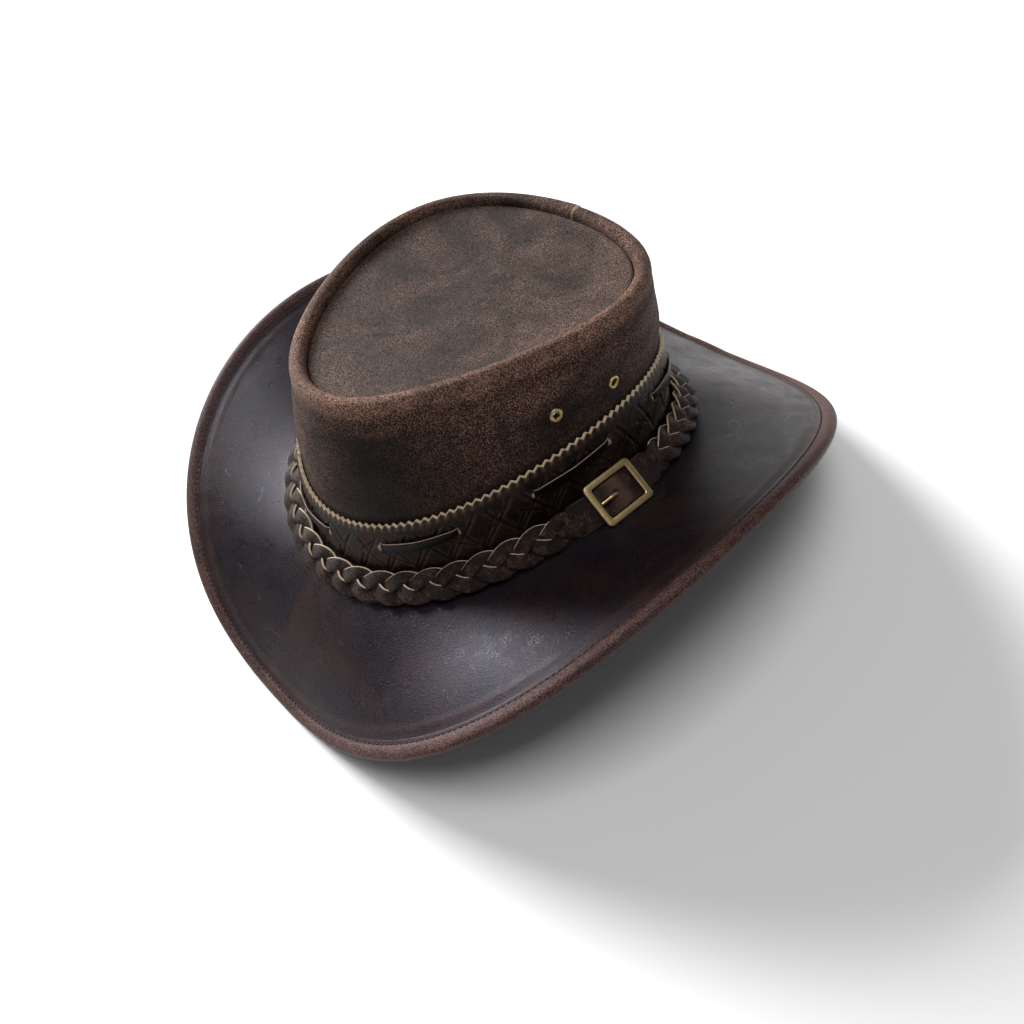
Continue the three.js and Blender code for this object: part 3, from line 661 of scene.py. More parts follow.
def start_finish(name, **patterns):
    """A new material with its object coordinates and named noise patterns, each spread over 0 to 1.

    A pattern has its real size in metres, its detail and roughness, the noise values that become 0 and 1,
    and its bend. One that is drawn out along the hide also has its turn and its scale across that way.
    """
    material = bpy.data.materials.new(name)
    material.use_nodes = True
    tree = material.node_tree
    tree.nodes.clear()
    coords = add_node(tree, "TexCoord", out="Object")
    made = {}
    for label, (size, detail, roughness, low, high, bend, *drawn) in patterns.items():
        vector = coords
        if drawn:
            turn = {"Vector": coords, "Rotation": (0, 0, drawn[0]), "Scale": (1, drawn[1], 1)}
            vector = add_node(tree, "Mapping", turn)
        noise = {"Vector": vector, "Scale": 1 / size, "Detail": detail, "Roughness": roughness}
        noise["Distortion"] = bend
        spread = {"Value": add_node(tree, "TexNoise", noise), "From Min": low, "From Max": high}
        made[label] = add_node(tree, "MapRange", spread)
    return SimpleNamespace(material=material, tree=tree, coords=coords, **made)


def end_finish(finish, colour, layers, roughness, relief=None, depth=0.0, **constants):
    """Lays a finish's colours over each other and joins them with its roughness and relief into one shader.

    A layer has the way it is laid, its factor and its colour. Depth is the relief's, in metres.
    """
    tree = finish.tree
    for way, factor, over in layers:
        colour = add_node(tree, "Mix", {0: factor, 6: colour, 7: over}, 2, data_type="RGBA", blend_type=way)
    inputs = {"Base Color": colour, "Roughness": roughness, **constants}
    if relief is not None:
        inputs["Normal"] = add_node(tree, "Bump", {"Height": relief, "Distance": depth, "Strength": 1.0})
    add_node(tree, "OutputMaterial", {"Surface": add_node(tree, "BsdfPrincipled", inputs)})
    return finish.material


def nubuck(name, settings, rubbed):
    """Waxed nubuck: cowhide brushed to a short nap. The nap gives a pale edge glow and a speckled grain.

    The wear attribute runs from 1, rub with painted highlights and painted light, to -1, painted shade.
    """
    # The nap's real grain, about 0.2 mm, is too fine to show and is drawn at 0.62 mm
    hide = start_finish(
        name,
        cloud=(0.045, 4.0, 0.6, 0.43, 0.62, 0.8),
        russet=(0.021, 4.0, 0.65, 0.46, 0.7, 0.8),
        mottle=(0.0048, 3.0, 0.6, 0.3, 0.7, 0.0),
        grain=(0.00062, 2.0, 0.8, 0.42, 0.6, 0.0),
        streaks=(0.009, 4.0, 0.65, 0.5, 0.72, 0.6, 0.5, 0.28),
    )
    tree = hide.tree
    wear_and_painted_light = add_node(tree, "Attribute", out="Fac", attribute_name="wear_and_painted_light")
    # Pale: rub, painted highlights on the rim, and painted light on the near side and on the top.
    pale = add_node(tree, "Math", {0: wear_and_painted_light, 1: 0.0}, operation="MAXIMUM")
    uneven = add_node(tree, "MapRange", {"Value": hide.mottle, "To Min": 0.6, "To Max": 1.15})
    worn_and_lit = add_node(tree, "Math", {0: pale, 1: uneven}, operation="MULTIPLY")
    # Painted shade from the attribute below 0. The cloud adds dark patches of its own.
    painted_shade = add_node(tree, "Math", {0: wear_and_painted_light, 1: -1.0}, operation="MULTIPLY")
    share = add_node(tree, "MapRange", {"Value": wear_and_painted_light, "To Min": 0.84, "To Max": 0.5})
    clouded = add_node(tree, "Math", {0: hide.cloud, 1: share}, operation="MULTIPLY")
    oil_and_painted_shade = add_node(tree, "Math", {0: painted_shade, 1: clouded}, operation="MAXIMUM")
    red = add_node(tree, "Math", {0: hide.russet, 1: 0.55}, operation="MULTIPLY")
    streaked = add_node(tree, "Math", {0: hide.streaks, 1: 0.36}, operation="MULTIPLY")
    bright = add_node(tree, "MapRange", {"Value": hide.grain, "From Min": 0.55, "To Max": 0.48})
    speckle = add_node(tree, "MapRange", {"Value": hide.grain, "To Min": 0.12, "To Max": 1.7})
    roughness = add_node(tree, "MapRange", {"Value": hide.cloud, "To Min": 0.72, "To Max": 0.6})
    layers = [
        ("MIX", red, settings.russet),
        ("MIX", worn_and_lit, rubbed),
        ("MIX", streaked, rubbed),
        ("MIX", bright, rubbed),
        ("MIX", oil_and_painted_shade, settings.shade),
        ("MULTIPLY", 1.0, speckle),
    ]
    nap = {"Sheen Weight": 0.03, "Sheen Roughness": 0.4, "Sheen Tint": srgb("#c8ab98")}
    gloss = {"IOR": LEATHER_IOR, "Specular IOR Level": 0.16}
    return end_finish(hide, settings.nap, layers, roughness, hide.grain, 0.0003, **nap, **gloss)


def oiled_leather(settings):
    """Pull-up cowhide, oiled and rubbed smooth. Its soft gloss turns blue-grey under a white light."""
    # The real grain, about 0.3 mm, and the hairline scratches are drawn coarser, so that they show
    hide = start_finish(
        "oiled_pull_up_cowhide",
        cloud=(0.04, 4.0, 0.6, 0.42, 0.66, 0.8),
        patches=(0.011, 4.0, 0.65, 0.35, 0.7, 0.5),
        grain=(0.0007, 2.0, 0.8, 0.4, 0.61, 0.0),
        scratches=(0.018, 2.0, 0.5, 0.7, 0.76, 0.9, 0.6, 9),
    )
    tree = hide.tree
    wear_and_painted_light = add_node(tree, "Attribute", out="Fac", attribute_name="wear_and_painted_light")
    uneven = add_node(tree, "MapRange", {"Value": hide.patches, "To Min": 0.6, "To Max": 1.2})
    worn_and_lit = add_node(tree, "Math", {0: wear_and_painted_light, 1: uneven}, operation="MULTIPLY")
    contrast = add_node(tree, "MapRange", {"Value": wear_and_painted_light, "To Min": 0.5, "To Max": 0.9})
    dark = add_node(tree, "Math", {0: 1.0, 1: contrast}, operation="SUBTRACT")
    light = add_node(tree, "Math", {0: 1.0, 1: contrast}, operation="ADD")
    speckle = add_node(tree, "MapRange", {"Value": hide.grain, "To Min": dark, "To Max": light})
    scuffs = add_node(tree, "Math", {0: hide.scratches, 1: 0.4}, operation="MULTIPLY")
    matt = add_node(tree, "Math", {0: wear_and_painted_light, 1: 1.6, 2: hide.patches}, operation="MULTIPLY_ADD")
    matt = add_node(tree, "Math", {0: hide.scratches, 1: 0.5, 2: matt}, operation="MULTIPLY_ADD")
    roughness = add_node(tree, "MapRange", {"Value": matt, "From Max": 2.2, "To Min": 0.26, "To Max": 0.56})
    layers = [
        ("MIX", hide.cloud, settings.warm),
        ("MIX", worn_and_lit, settings.edge),
        ("MULTIPLY", 1.0, speckle),
        ("MIX", scuffs, settings.edge),
    ]
    gloss = {"IOR": LEATHER_IOR, "Specular IOR Level": 0.25, "Specular Tint": srgb("#e6e2fa")}
    return end_finish(hide, settings.face, layers, roughness, hide.grain, 0.00005, **gloss)


def tooled_leather(settings):
    """Vegetable-tanned strip, tooled and dyed near black. Rubbing brings brown back on what stands up."""
    # The real grain, about 0.4 mm, is drawn at 1.1 mm, so that it shows
    hide = start_finish(
        "tooled_dyed_leather",
        patches=(0.016, 4.0, 0.6, 0.42, 0.64, 0.0),
        grain=(0.0011, 2.0, 0.7, 0.35, 0.65, 0.0),
    )
    tree = hide.tree
    wear_and_painted_light = add_node(tree, "Attribute", out="Fac", attribute_name="wear_and_painted_light")
    cells = {"Vector": hide.coords, "Scale": 1 / 0.0024}
    cracks = add_node(tree, "TexVoronoi", cells, feature="DISTANCE_TO_EDGE")
    crackle = add_node(tree, "MapRange", {"Value": cracks, "From Max": 0.1})
    uneven = add_node(tree, "MapRange", {"Value": hide.grain, "To Min": 0.2})
    rub = add_node(tree, "Math", {0: hide.patches, 1: uneven}, operation="MULTIPLY")
    strip = add_node(tree, "Math", {0: wear_and_painted_light, 1: 1.5}, operation="MULTIPLY")
    fibres = add_node(tree, "MapRange", {"Value": hide.grain, "To Min": 0.6})
    raw = add_node(tree, "Math", {0: wear_and_painted_light, 1: 2.5}, operation="POWER")
    frayed = add_node(tree, "Math", {0: raw, 1: fibres}, operation="MULTIPLY")
    pebbles = add_node(tree, "Math", {0: hide.grain, 1: 0.4}, operation="MULTIPLY")
    relief = add_node(tree, "Math", {0: crackle, 1: 0.6, 2: pebbles}, operation="MULTIPLY_ADD")
    roughness = add_node(tree, "MapRange", {"Value": hide.patches, "To Min": 0.42, "To Max": 0.58})
    layers = [
        ("MIX", rub, settings.raised),
        ("MIX", strip, settings.fringe),
        ("MIX", frayed, settings.cut),
    ]
    dye = {"IOR": LEATHER_IOR, "Specular IOR Level": 0.18}
    return end_finish(hide, settings.face, layers, roughness, relief, 0.0003, **dye)


def plait_leather(settings):
    """Grained bridle strips, waxed and aged by hands: brown over dark pores, with pale streaks where rubbed.
    """
    # The real pores, about 0.3 mm, are drawn at 1 mm, so that they show
    hide = start_finish(
        "grained_bridle_leather",
        patches=(0.006, 4.0, 0.65, 0.46, 0.68, 0.0),
        grain=(0.0010, 3.0, 0.75, 0.4, 0.64, 0.0),
    )
    tree = hide.tree
    wear_and_painted_light = add_node(tree, "Attribute", out="Fac", attribute_name="wear_and_painted_light")
    rub = add_node(tree, "Math", {0: hide.patches, 1: hide.grain}, operation="MULTIPLY")
    rub = add_node(tree, "Math", {0: rub, 1: 0.75}, operation="MULTIPLY")
    roughness = add_node(tree, "MapRange", {"Value": hide.grain, "To Min": 0.58, "To Max": 0.42})
    layers = [
        ("MIX", hide.grain, settings.face),
        ("MIX", rub, settings.scuffed),
        ("MIX", wear_and_painted_light, settings.scuffed),
    ]
    wax = {"IOR": LEATHER_IOR, "Specular IOR Level": 0.22}
    return end_finish(hide, settings.pores, layers, roughness, hide.grain, 0.0002, **wax)


def cut_leather(name, colour):
    """The raw cut through a hide: pale, matt and fibrous."""
    # The fibres' bundles, about 0.1 mm, are drawn at 1.2 mm, so that they show
    hide = start_finish(name, fibre=(0.0012, 4.0, 0.7, 0.3, 0.7, 0.0))
    shade = add_node(hide.tree, "MapRange", {"Value": hide.fibre, "To Min": 0.6, "To Max": 1.25})
    raw = {"IOR": LEATHER_IOR, "Specular IOR Level": 0.25}
    return end_finish(hide, colour, [("MULTIPLY", 1.0, shade)], 0.85, hide.fibre, 0.0002, **raw)


def lace_leather(settings):
    """Smooth dyed lace, almost black, with a low gloss."""
    # The real grain, about 0.3 mm, is drawn at 1.5 mm, so that it shows
    hide = start_finish("dyed_lace", grain=(0.0015, 3.0, 0.6, 0.3, 0.7, 0.0))
    dye = {"IOR": LEATHER_IOR, "Specular IOR Level": 0.12}
    layers = [("MIX", hide.grain, settings.face)]
    return end_finish(hide, settings.lace, layers, 0.4, hide.grain, 0.00008, **dye)


def antique_brass(settings):
    """Plated brass, darkened and rubbed back: bright on the edges, brown in the brushed hollows."""
    # The brush marks, about 0.1 mm, are drawn at 0.7 mm, so that they show
    metal = start_finish(
        "antique_brass",
        tarnish=(0.0035, 5.0, 0.65, 0.42, 0.66, 0.0),
        brush=(0.0007, 2.0, 0.6, 0.3, 0.7, 0.0),
    )
    tree = metal.tree
    wear_and_painted_light = add_node(tree, "Attribute", out="Fac", attribute_name="wear_and_painted_light")
    hollow = {"Value": wear_and_painted_light, "From Min": 0.05, "From Max": 0.8, "To Min": 0.6, "To Max": 0.0}
    dull = add_node(tree, "MapRange", hollow)
    spots = add_node(tree, "MapRange", {"Value": wear_and_painted_light, "To Min": 0.38, "To Max": 0.1})
    dark = add_node(tree, "Math", {0: metal.tarnish, 1: spots, 2: dull}, operation="MULTIPLY_ADD")
    roughness = add_node(tree, "MapRange", {"Value": dark, "To Min": 0.27, "To Max": 0.5})
    layers = [("MIX", dark, settings.dull)]
    return end_finish(metal, settings.bright, layers, roughness, metal.brush, 0.00005, Metallic=1.0)


def waxed_thread(colour):
    """Waxed linen thread, dark brown. The twist of its strands gives it a fine light and dark."""
    thread = start_finish("waxed_thread", twist=(0.0006, 2.0, 0.5, 0.3, 0.7, 0.0))
    shade = add_node(thread.tree, "MapRange", {"Value": thread.twist, "To Min": 0.6, "To Max": 1.4})
    layers = [("MULTIPLY", 1.0, shade)]
    return end_finish(thread, colour, layers, 0.7, thread.twist, 0.0001, IOR=LEATHER_IOR)


def matt_floor(colour):
    """Matt painted board: pale and even, with the faintest mottle."""
    board = start_finish("matt_floor", mottle=(0.4, 2.0, 0.5, 0.3, 0.7, 0.0))
    shade = add_node(board.tree, "MapRange", {"Value": board.mottle, "To Min": 0.985})
    return end_finish(board, colour, [("MULTIPLY", 1.0, shade)], 0.9)


# Pieces

def turns(count):
    """Angles of even steps round a full turn."""
    return np.linspace(0, 2 * math.pi, count, endpoint=False)


class HAT_OT_brim(bpy.types.Operator):
    """Builds the curled sheet of the brim"""

    bl_idname = "hat.brim"
    bl_label = "Brim"

    def execute(self, context):
        hat = context.scene.hat
        t = turns(COLUMNS)[:, None]
        edge = around("brim_width", t) - EDGE_SETBACK
        share = np.linspace(0, 1, 66)[None, :]
        along = edge - (edge + BRIM_TUCK) * share
        points = brim_point(t, along, 0)
        inward = around("brim_width", t) - along
        points[..., 2] += HEM_RISE * np.exp(-(((inward - HEM_REACH) / HEM_SPREAD) ** 2))
        wear_and_painted_light = EDGE_RUB["amount"] * np.exp(-np.maximum(inward - EDGE_RUB["from"], 0) / EDGE_RUB["fade"])
        wear_and_painted_light += HEM_RUB["amount"] * np.exp(-(((inward - HEM_REACH) / HEM_RUB["spread"]) ** 2))
        bm, _ = grid_mesh(points, True, False, wear_and_painted_light)
        close_seams(bm)
        piece = object_from(bm, "brim_sheet", oiled_leather(hat.brim))
        thicken(piece, hat.brim.thickness)
        settle(piece, "oiled_leather", "brim")
        return {"FINISHED"}


# The binding's section before and after its bead: in from the brim's edge, above the sheet's face, and rub
BINDING_SECTION = {
    "inward": [9.6, 9.0, 8.2, 7.7, 7.2, 6.4, 5.2, 4.0],
    "above": [0.12, 0.3, 0.42, 0.3, 0.5, 1.0, 1.45, 1.66],
    "rubbed": [0.3, 0.35, 0.4, 0.45, 0.8, 1.0, 1.0, 1.0],
}
BINDING_UNDER = {
    "inward": [5.2, 7.2, 9.0, 9.6, 9.5, 2.2, 2.2, 9.5],
    "above": [-4.0, -3.3, -3.0, -2.7, -2.5, -2.5, 0.06, 0.06],
    "rubbed": [0.9, 0.6, 0.4, 0.3, 0.3, 0.3, 0.3, 0.3],
}


def binding_section():
    """Top leg, bead, under leg and the pocket for the sheet, as distances in, above, and rub."""
    rows = list(zip(*BINDING_SECTION.values()))
    for turn in np.radians(np.arange(80, -91, -17)):
        # Paler on the bead's top and darker underneath: rub on top, painted shade on the underside.
        rubbed = 0.78 + 0.22 * math.sin(turn)
        rows.append((BEAD_RADIUS * (1 - math.cos(turn)), BEAD_RADIUS * math.sin(turn) - BEAD_SUNK, rubbed))
    return np.array(rows + list(zip(*BINDING_UNDER.values())))


class HAT_OT_binding(bpy.types.Operator):
    """Builds the bound edge of the brim with its stitches"""

    bl_idname = "hat.binding"
    bl_label = "Binding"

    def execute(self, context):
        hat = context.scene.hat
        section = binding_section()
        t = turns(2 * COLUMNS)[:, None]
        width = around("brim_width", t)
        points = brim_point(t, width - section[None, :, 0], section[None, :, 1])
        points[..., 2] += np.maximum(0, -rest_height(points))
        wear_and_painted_light = np.broadcast_to(section[None, :, 2], points.shape[:2])
        bm, _ = grid_mesh(points, True, True, wear_and_painted_light)
        close_seams(bm)
        piece = object_from(bm, "bound_edge", oiled_leather(hat.brim))
        crisp_edges(piece, math.radians(60))
        settle(piece, "worn_edge_leather", "brim_binding")
        self.stitches(hat)
        return {"FINISHED"}

    def stitches(self, hat):
        dense = turns(4000)
        seam = brim_point(dense, around("brim_width", dense) - STITCH_ROW, 0.35)
        steps = np.linalg.norm(np.roll(seam, -1, axis=0) - seam, axis=1)
        lengths = np.concatenate([[0], np.cumsum(steps)])
        count = round(lengths[-1] * MM / hat.brim.stitch_pitch)
        t = np.interp(lengths[-1] * np.arange(count) / count, lengths[:-1], dense)
        stitch = bmesh.new()
        bmesh.ops.create_uvsphere(stitch, u_segments=8, v_segments=6, radius=MM)
        bmesh.ops.scale(stitch, vec=STITCH_SIZE, verts=stitch.verts)
        matrices = []
        for above in STITCH_HEIGHTS:
            place, before, after = (
                at_rest(brim_point(t + step, around("brim_width", t + step) - STITCH_ROW, above))
                for step in (0, -1e-3, 1e-3)
            )
            for here, ahead in zip(place, after - before):
                turn = Vector(ahead).to_track_quat("X", "Z").to_matrix().to_4x4()
                matrices.append(Matrix.Translation(Vector(here)) @ turn)
        piece = object_from(repeated(stitch, matrices), "edge_stitches", waxed_thread(hat.brim.thread))
        settle(piece, "worn_edge_leather", "brim_binding")


def wall_wear(degrees, below_rim, above_band):
    """Rub and painted highlight up to 1 on the rim, painted light on the near side, less painted shade."""
    # Painted shade: a dark patch on the front of the wall, which faces away from the key light.
    patch = WALL_PAINTED_SHADE["amount"] * np.exp(-(((degrees - WALL_PAINTED_SHADE["angle"]) / WALL_PAINTED_SHADE["spread"]) ** 2))
    patch = patch * np.clip((below_rim - WALL_PAINTED_SHADE["from"]) / WALL_PAINTED_SHADE["fade"], 0, 1)
    # Painted shade in a strip over the band, reaching higher at the front.
    reach = BAND_PAINTED_SHADE["reach"] + BAND_PAINTED_SHADE["front_reach"] * np.clip(-np.sin(np.radians(degrees)), 0, 1)
    by_band = BAND_PAINTED_SHADE["amount"] * np.exp(-np.maximum(above_band, 0) / reach)
    # Painted shade in a strip under the roll.
    under_roll = ROLL_PAINTED_SHADE["amount"] * np.exp(-(((below_rim - ROLL_PAINTED_SHADE["below"]) / ROLL_PAINTED_SHADE["spread"]) ** 2))
    # All of this is painted shade, taken off the paleness below.
    oil_and_painted_shade = np.maximum(np.maximum(patch, by_band), under_roll)
    # Rub with painted highlights on the rolled rim, most at the front.
    round_rim = RIM_RUB_AND_HIGHLIGHT["mean"] + RIM_RUB_AND_HIGHLIGHT["front"] * np.cos(np.radians(degrees - RIM_RUB_AND_HIGHLIGHT["angle"]))
    round_rim = round_rim + RIM_RUB_AND_HIGHLIGHT["thirds"] * np.sin(np.radians(3 * degrees + RIM_RUB_AND_HIGHLIGHT["turn"]))
    # Painted light: a paler patch on the near side, under the rim.
    off_lit_patch = np.mod(degrees + 180, 360) - WALL_PAINTED_LIGHT["angle"]
    painted_light_patch = WALL_PAINTED_LIGHT["amount"] * np.exp(-((off_lit_patch / WALL_PAINTED_LIGHT["spread"]) ** 2))
    painted_light_patch = painted_light_patch * np.exp(-(((below_rim - WALL_PAINTED_LIGHT["below"]) / WALL_PAINTED_LIGHT["fade"]) ** 2))
    return round_rim * np.exp(-(((below_rim - RIM_RUB_AND_HIGHLIGHT["below"]) / RIM_RUB_AND_HIGHLIGHT["spread"]) ** 2)) + painted_light_patch - oil_and_painted_shade


class HAT_OT_crown(bpy.types.Operator):
    """Builds the crown's wall with its rolled rim, and the dished top"""

    bl_idname = "hat.crown"
    bl_label = "Crown"

    def execute(self, context):
        hat = context.scene.hat
        self.wall(hat, nubuck("waxed_nubuck_side", hat.crown, hat.crown.rubbed))
        # The top takes the paler colour: painted light from above.
        self.top(hat, nubuck("waxed_nubuck_top", hat.crown, hat.crown.lit_top))
        return {"FINISHED"}

    def wall(self, hat, leather):
        t = turns(COLUMNS)
        face = BAND_FLARE - BAND_LEATHER - GAP
        outside = brim_point(t, face - BAND_FLARE, FOOT_GAP)
        inside = brim_point(t, face - BAND_FLARE - CROWN_LEATHER, FOOT_GAP)
        low = beside(band_oval, t, face, np.maximum(outside[..., 2], inside[..., 2]))
        start = wall_point(t, np.zeros(t.shape))
        rows = [low + (start - low) * share for share in np.linspace(0, 1, 10, endpoint=False)]
        rows += [wall_point(t, np.full(t.shape, share)) for share in np.linspace(0, 0.93, 30)]
        rim = around("rim_height", t)
        for turn in np.radians(np.arange(0, 181, 10)):
            out = ROLL_RADIUS * (1 + math.cos(turn))
            rows.append(beside(rim_oval, t, out, rim - ROLL_DROP + ROLL_RADIUS * math.sin(turn)))
        rows.append(beside(rim_oval, t, 0, rim - LIP_DROP))
        points = resampled(np.stack(rows, axis=1), WALL_ROWS, smooth=3)

        below_rim = rim[:, None] - points[..., 2]
        above_band = points[..., 2] - around("band_top", t)[:, None]
        degrees = np.degrees(t)[:, None]
        out = beside(band_oval, t, 1, 0) - beside(band_oval, t, 0, 0)
        side = np.clip(above_band / 12, 0, 1) * np.clip((below_rim - 8) / 10, 0, 1)
        ripple = RIPPLE * np.sin(4 * t + 1)[:, None] * np.sin(above_band / 7 + 3 * np.sin(2 * t)[:, None])
        points += out[:, None] * (ripple * side)[..., None]
        past_seam = np.mod(degrees - SEAM_ANGLE, 360)
        lap = SEAM_LAP * np.exp(-past_seam / 14) * np.clip((20 - below_rim) / 10, 0, 1)
        rim_middle = beside(rim_oval, t, ROLL_RADIUS, rim - ROLL_DROP)[:, None]
        points += unit(points - rim_middle) * lap[..., None]

        seam = round(SEAM_ANGLE / 360 * COLUMNS) - 1
        bm, _ = grid_mesh(
            points, True, False, wall_wear(degrees, below_rim, above_band),
            lambda i, j: 1 if i == seam and below_rim[i, j] < SEAM_SHOWN else 0,
        )
        holes = [Vector(at_rest(wall_point(*self.seat(row)))[0]) for row in EYELETS]
        middles = [(face, face.calc_center_median()) for face in bm.faces]
        near = EYELET_HOLE * MM
        pierced = [face for face, at in middles if any((at - hole).length < near for hole in holes)]
        bmesh.ops.delete(bm, geom=pierced, context="FACES")
        close_seams(bm)
        piece = object_from(bm, "crown_side", leather, cut_leather("lap_cut_edge", srgb(LAP_EDGE)))
        thicken(piece, hat.crown.thickness)
        settle(piece, "nubuck_leather", "crown_wall")

    @staticmethod
    def seat(row):
        """An eyelet's angle and its share of the wall's height over the band."""
        t = np.array([row["t"]])
        return t, row["above"] / (around("rim_height", t) - ROLL_DROP - around("band_top", t))

    def top(self, hat, leather):
        t = turns(COLUMNS)[:, None]
        height = around("rim_height", t) - TOP_DROP
        middle = np.array([0, -RIM_FORWARD, around("rim_height", 0.0) - TOP_DROP - TOP_DISH])
        share = np.linspace(0, 1, 70)[None, :]
        edge = beside(rim_oval, t, -GAP - TOP_ROUNDING, height)
        rows = middle + (edge - middle) * share[..., None]
        rows[..., 2] = middle[2] + (height - middle[2]) * share**2.5
        corner = []
        for turn in np.radians([30, 60, 90]):
            inset, fall = TOP_ROUNDING * (1 - math.sin(turn)), TOP_ROUNDING * (1 - math.cos(turn))
            corner.append(beside(rim_oval, t, -GAP - inset, height - fall))
        flange = beside(rim_oval, t, -GAP, height - TOP_FLANGE)
        points = np.concatenate([rows, *corner, flange], axis=1)
        x, y = points[..., 0], points[..., 1]
        fade = np.clip((1 - np.linspace(0, 1.06, points.shape[1])) * 6, 0, 1)[None, :]
        points[..., 2] += fade * TOP_SWELL * (np.sin(x / 11 + y / 26) + np.sin(y / 17 - x / 30 + 1))
        points = points[:, ::-1]
        # The top's even paleness is painted light from above.
        bm, _ = grid_mesh(points, True, False, np.full(points.shape[:2], TOP_PAINTED_LIGHT))
        close_seams(bm)
        piece = object_from(bm, "crown_plate", leather)
        thicken(piece, hat.crown.thickness)
        settle(piece, "nubuck_leather", "crown_top")


def tooled_relief(along, drop):
    """Tooling cut by hand, Y strokes between crossing diagonals, as grooves and their raised shoulders."""
    groove, shoulder = np.zeros(drop.shape), np.zeros(drop.shape)
    for way, spacing, shift, slant, low, high in TOOLED_STROKES:
        lean = drop / math.tan(math.radians(slant))
        place = np.mod(along + way * lean + shift, spacing) - spacing / 2
        within = np.clip(np.minimum(drop - low, high - drop) / STROKE_FADE, 0, 1)
        groove = np.maximum(groove, np.exp(-((place / STROKE_HALF) ** 2)) * within)
        beside_it = np.exp(-(((np.abs(place) - SHOULDER_AT) / SHOULDER_HALF) ** 2))
        shoulder = np.maximum(shoulder, beside_it * within)
    return groove, shoulder * (1 - groove)


class HAT_OT_band(bpy.types.Operator):
    """Builds the tooled band with its pinked edge and the slits for the lace"""

    bl_idname = "hat.band"
    bl_label = "Band"

    def execute(self, context):
        hat = context.scene.hat
        count = hat.band.teeth * TOOTH_STEPS
        t = turns(count)[:, None]
        valley = np.abs(np.mod(np.arange(count) / TOOTH_STEPS, 1) * 2 - 1)[:, None]
        tooth = valley * hat.band.tooth_depth / MM
        foot = band_foot(t)
        share = np.linspace(0, 1, 52)[None, :]
        drop = foot + (tooth - foot) * share
        lengths = np.linspace(0, BAND_ROUND, count)[:, None]
        groove, shoulder = tooled_relief(lengths, drop)
        relief = (SHOULDER_RISE * shoulder - groove) * hat.band.groove / MM
        points = band_point(t, drop, relief)
        scallop = 0.55 + 0.45 * np.cos(2 * math.pi * hat.band.teeth * np.arange(count) / count)[:, None]
        fringe = FRINGE["amount"] * scallop * np.exp(-(((drop - FRINGE["drop"]) / FRINGE["spread"]) ** 2))
        # The shoulders' brown is rub and a painted highlight on the relief.
        wear_and_painted_light = np.exp(-(((drop - tooth) / TOOTH_RUB) ** 2)) + fringe + SHOULDER_RUB_AND_HIGHLIGHT * shoulder
        bm, cells = grid_mesh(points, True, False, wear_and_painted_light)
        close_seams_round(bm, cells, count)
        self.cut_slits(bm, cells, drop, count)
        bmesh.ops.remove_doubles(bm, verts=[v for v in bm.verts if v.is_boundary], dist=1e-7)
        edge = cut_leather("cut_edge", hat.band.cut)
        piece = object_from(bm, "tooled_band", tooled_leather(hat.band), edge)
        thicken(piece, hat.band.thickness, 1)
        settle(piece, "embossed_leather", "hat_band")
        return {"FINISHED"}

    def cut_slits(self, bm, cells, drop, count):
        """Opens a slit at each end of every stretch of lace, with one lip pressed in and the other proud."""
        grid = {cell: vert for vert, cell in cells.items()}
        slits, edges = [], []
        for span in range(LACE_SPANS):
            for at, hidden_side in zip(SLIT_ANGLES, (-1, 1)):
                column = round((at / 360 + span / LACE_SPANS) * count) % count
                rows = np.flatnonzero(np.abs(drop[column] - LACE_DROP) < SLIT_HALF)
                edges += [bm.edges.get((grid[column, j], grid[column, j + 1])) for j in rows[:-1]]
                slits.append((2 * math.pi * column / count, hidden_side))
        bmesh.ops.split_edges(bm, edges=edges)
        verts = list(bm.verts)
        worn_and_lit = bm.verts.layers.float["wear_and_painted_light"]
        places = np.array([vert.co[:] for vert in verts])
        for t, hidden_side in slits:
            line = at_rest(band_point(np.array([t]), np.array([LACE_DROP]), 0))[0]
            outward = np.array([math.cos(t) / BAND_HALF_WIDTH, math.sin(t) / BAND_HALF_LENGTH, 0])
            outward /= np.linalg.norm(outward)
            tangent = np.array([-outward[1], outward[0], 0])
            beyond = (places - line) @ tangent / MM
            rise = (places[:, 2] - line[2]) / MM
            near = np.flatnonzero(np.linalg.norm(places - line, axis=1) < SLIT_NEAR * MM)
            for i in near:
                amount = max(0.0, 1 - (rise[i] / SLIT_HALF) ** 2)
                amount *= math.exp(-((beyond[i] / SLIT_REACH) ** 2))
                middles = [face.calc_center_median() for face in verts[i].link_faces]
                side = (sum(middles, Vector()) / len(middles) - Vector(line)).dot(Vector(tangent))
                push = LIP_PROUD if side * hidden_side > 0 else -LIP_SUNK
                places[i] += outward * push * amount * MM
                if push > 0 and amount > LIP_RUB_FROM:
                    verts[i][worn_and_lit] = max(verts[i][worn_and_lit], LIP_RUB)
        for vert, place in zip(verts, places):
            vert.co = place


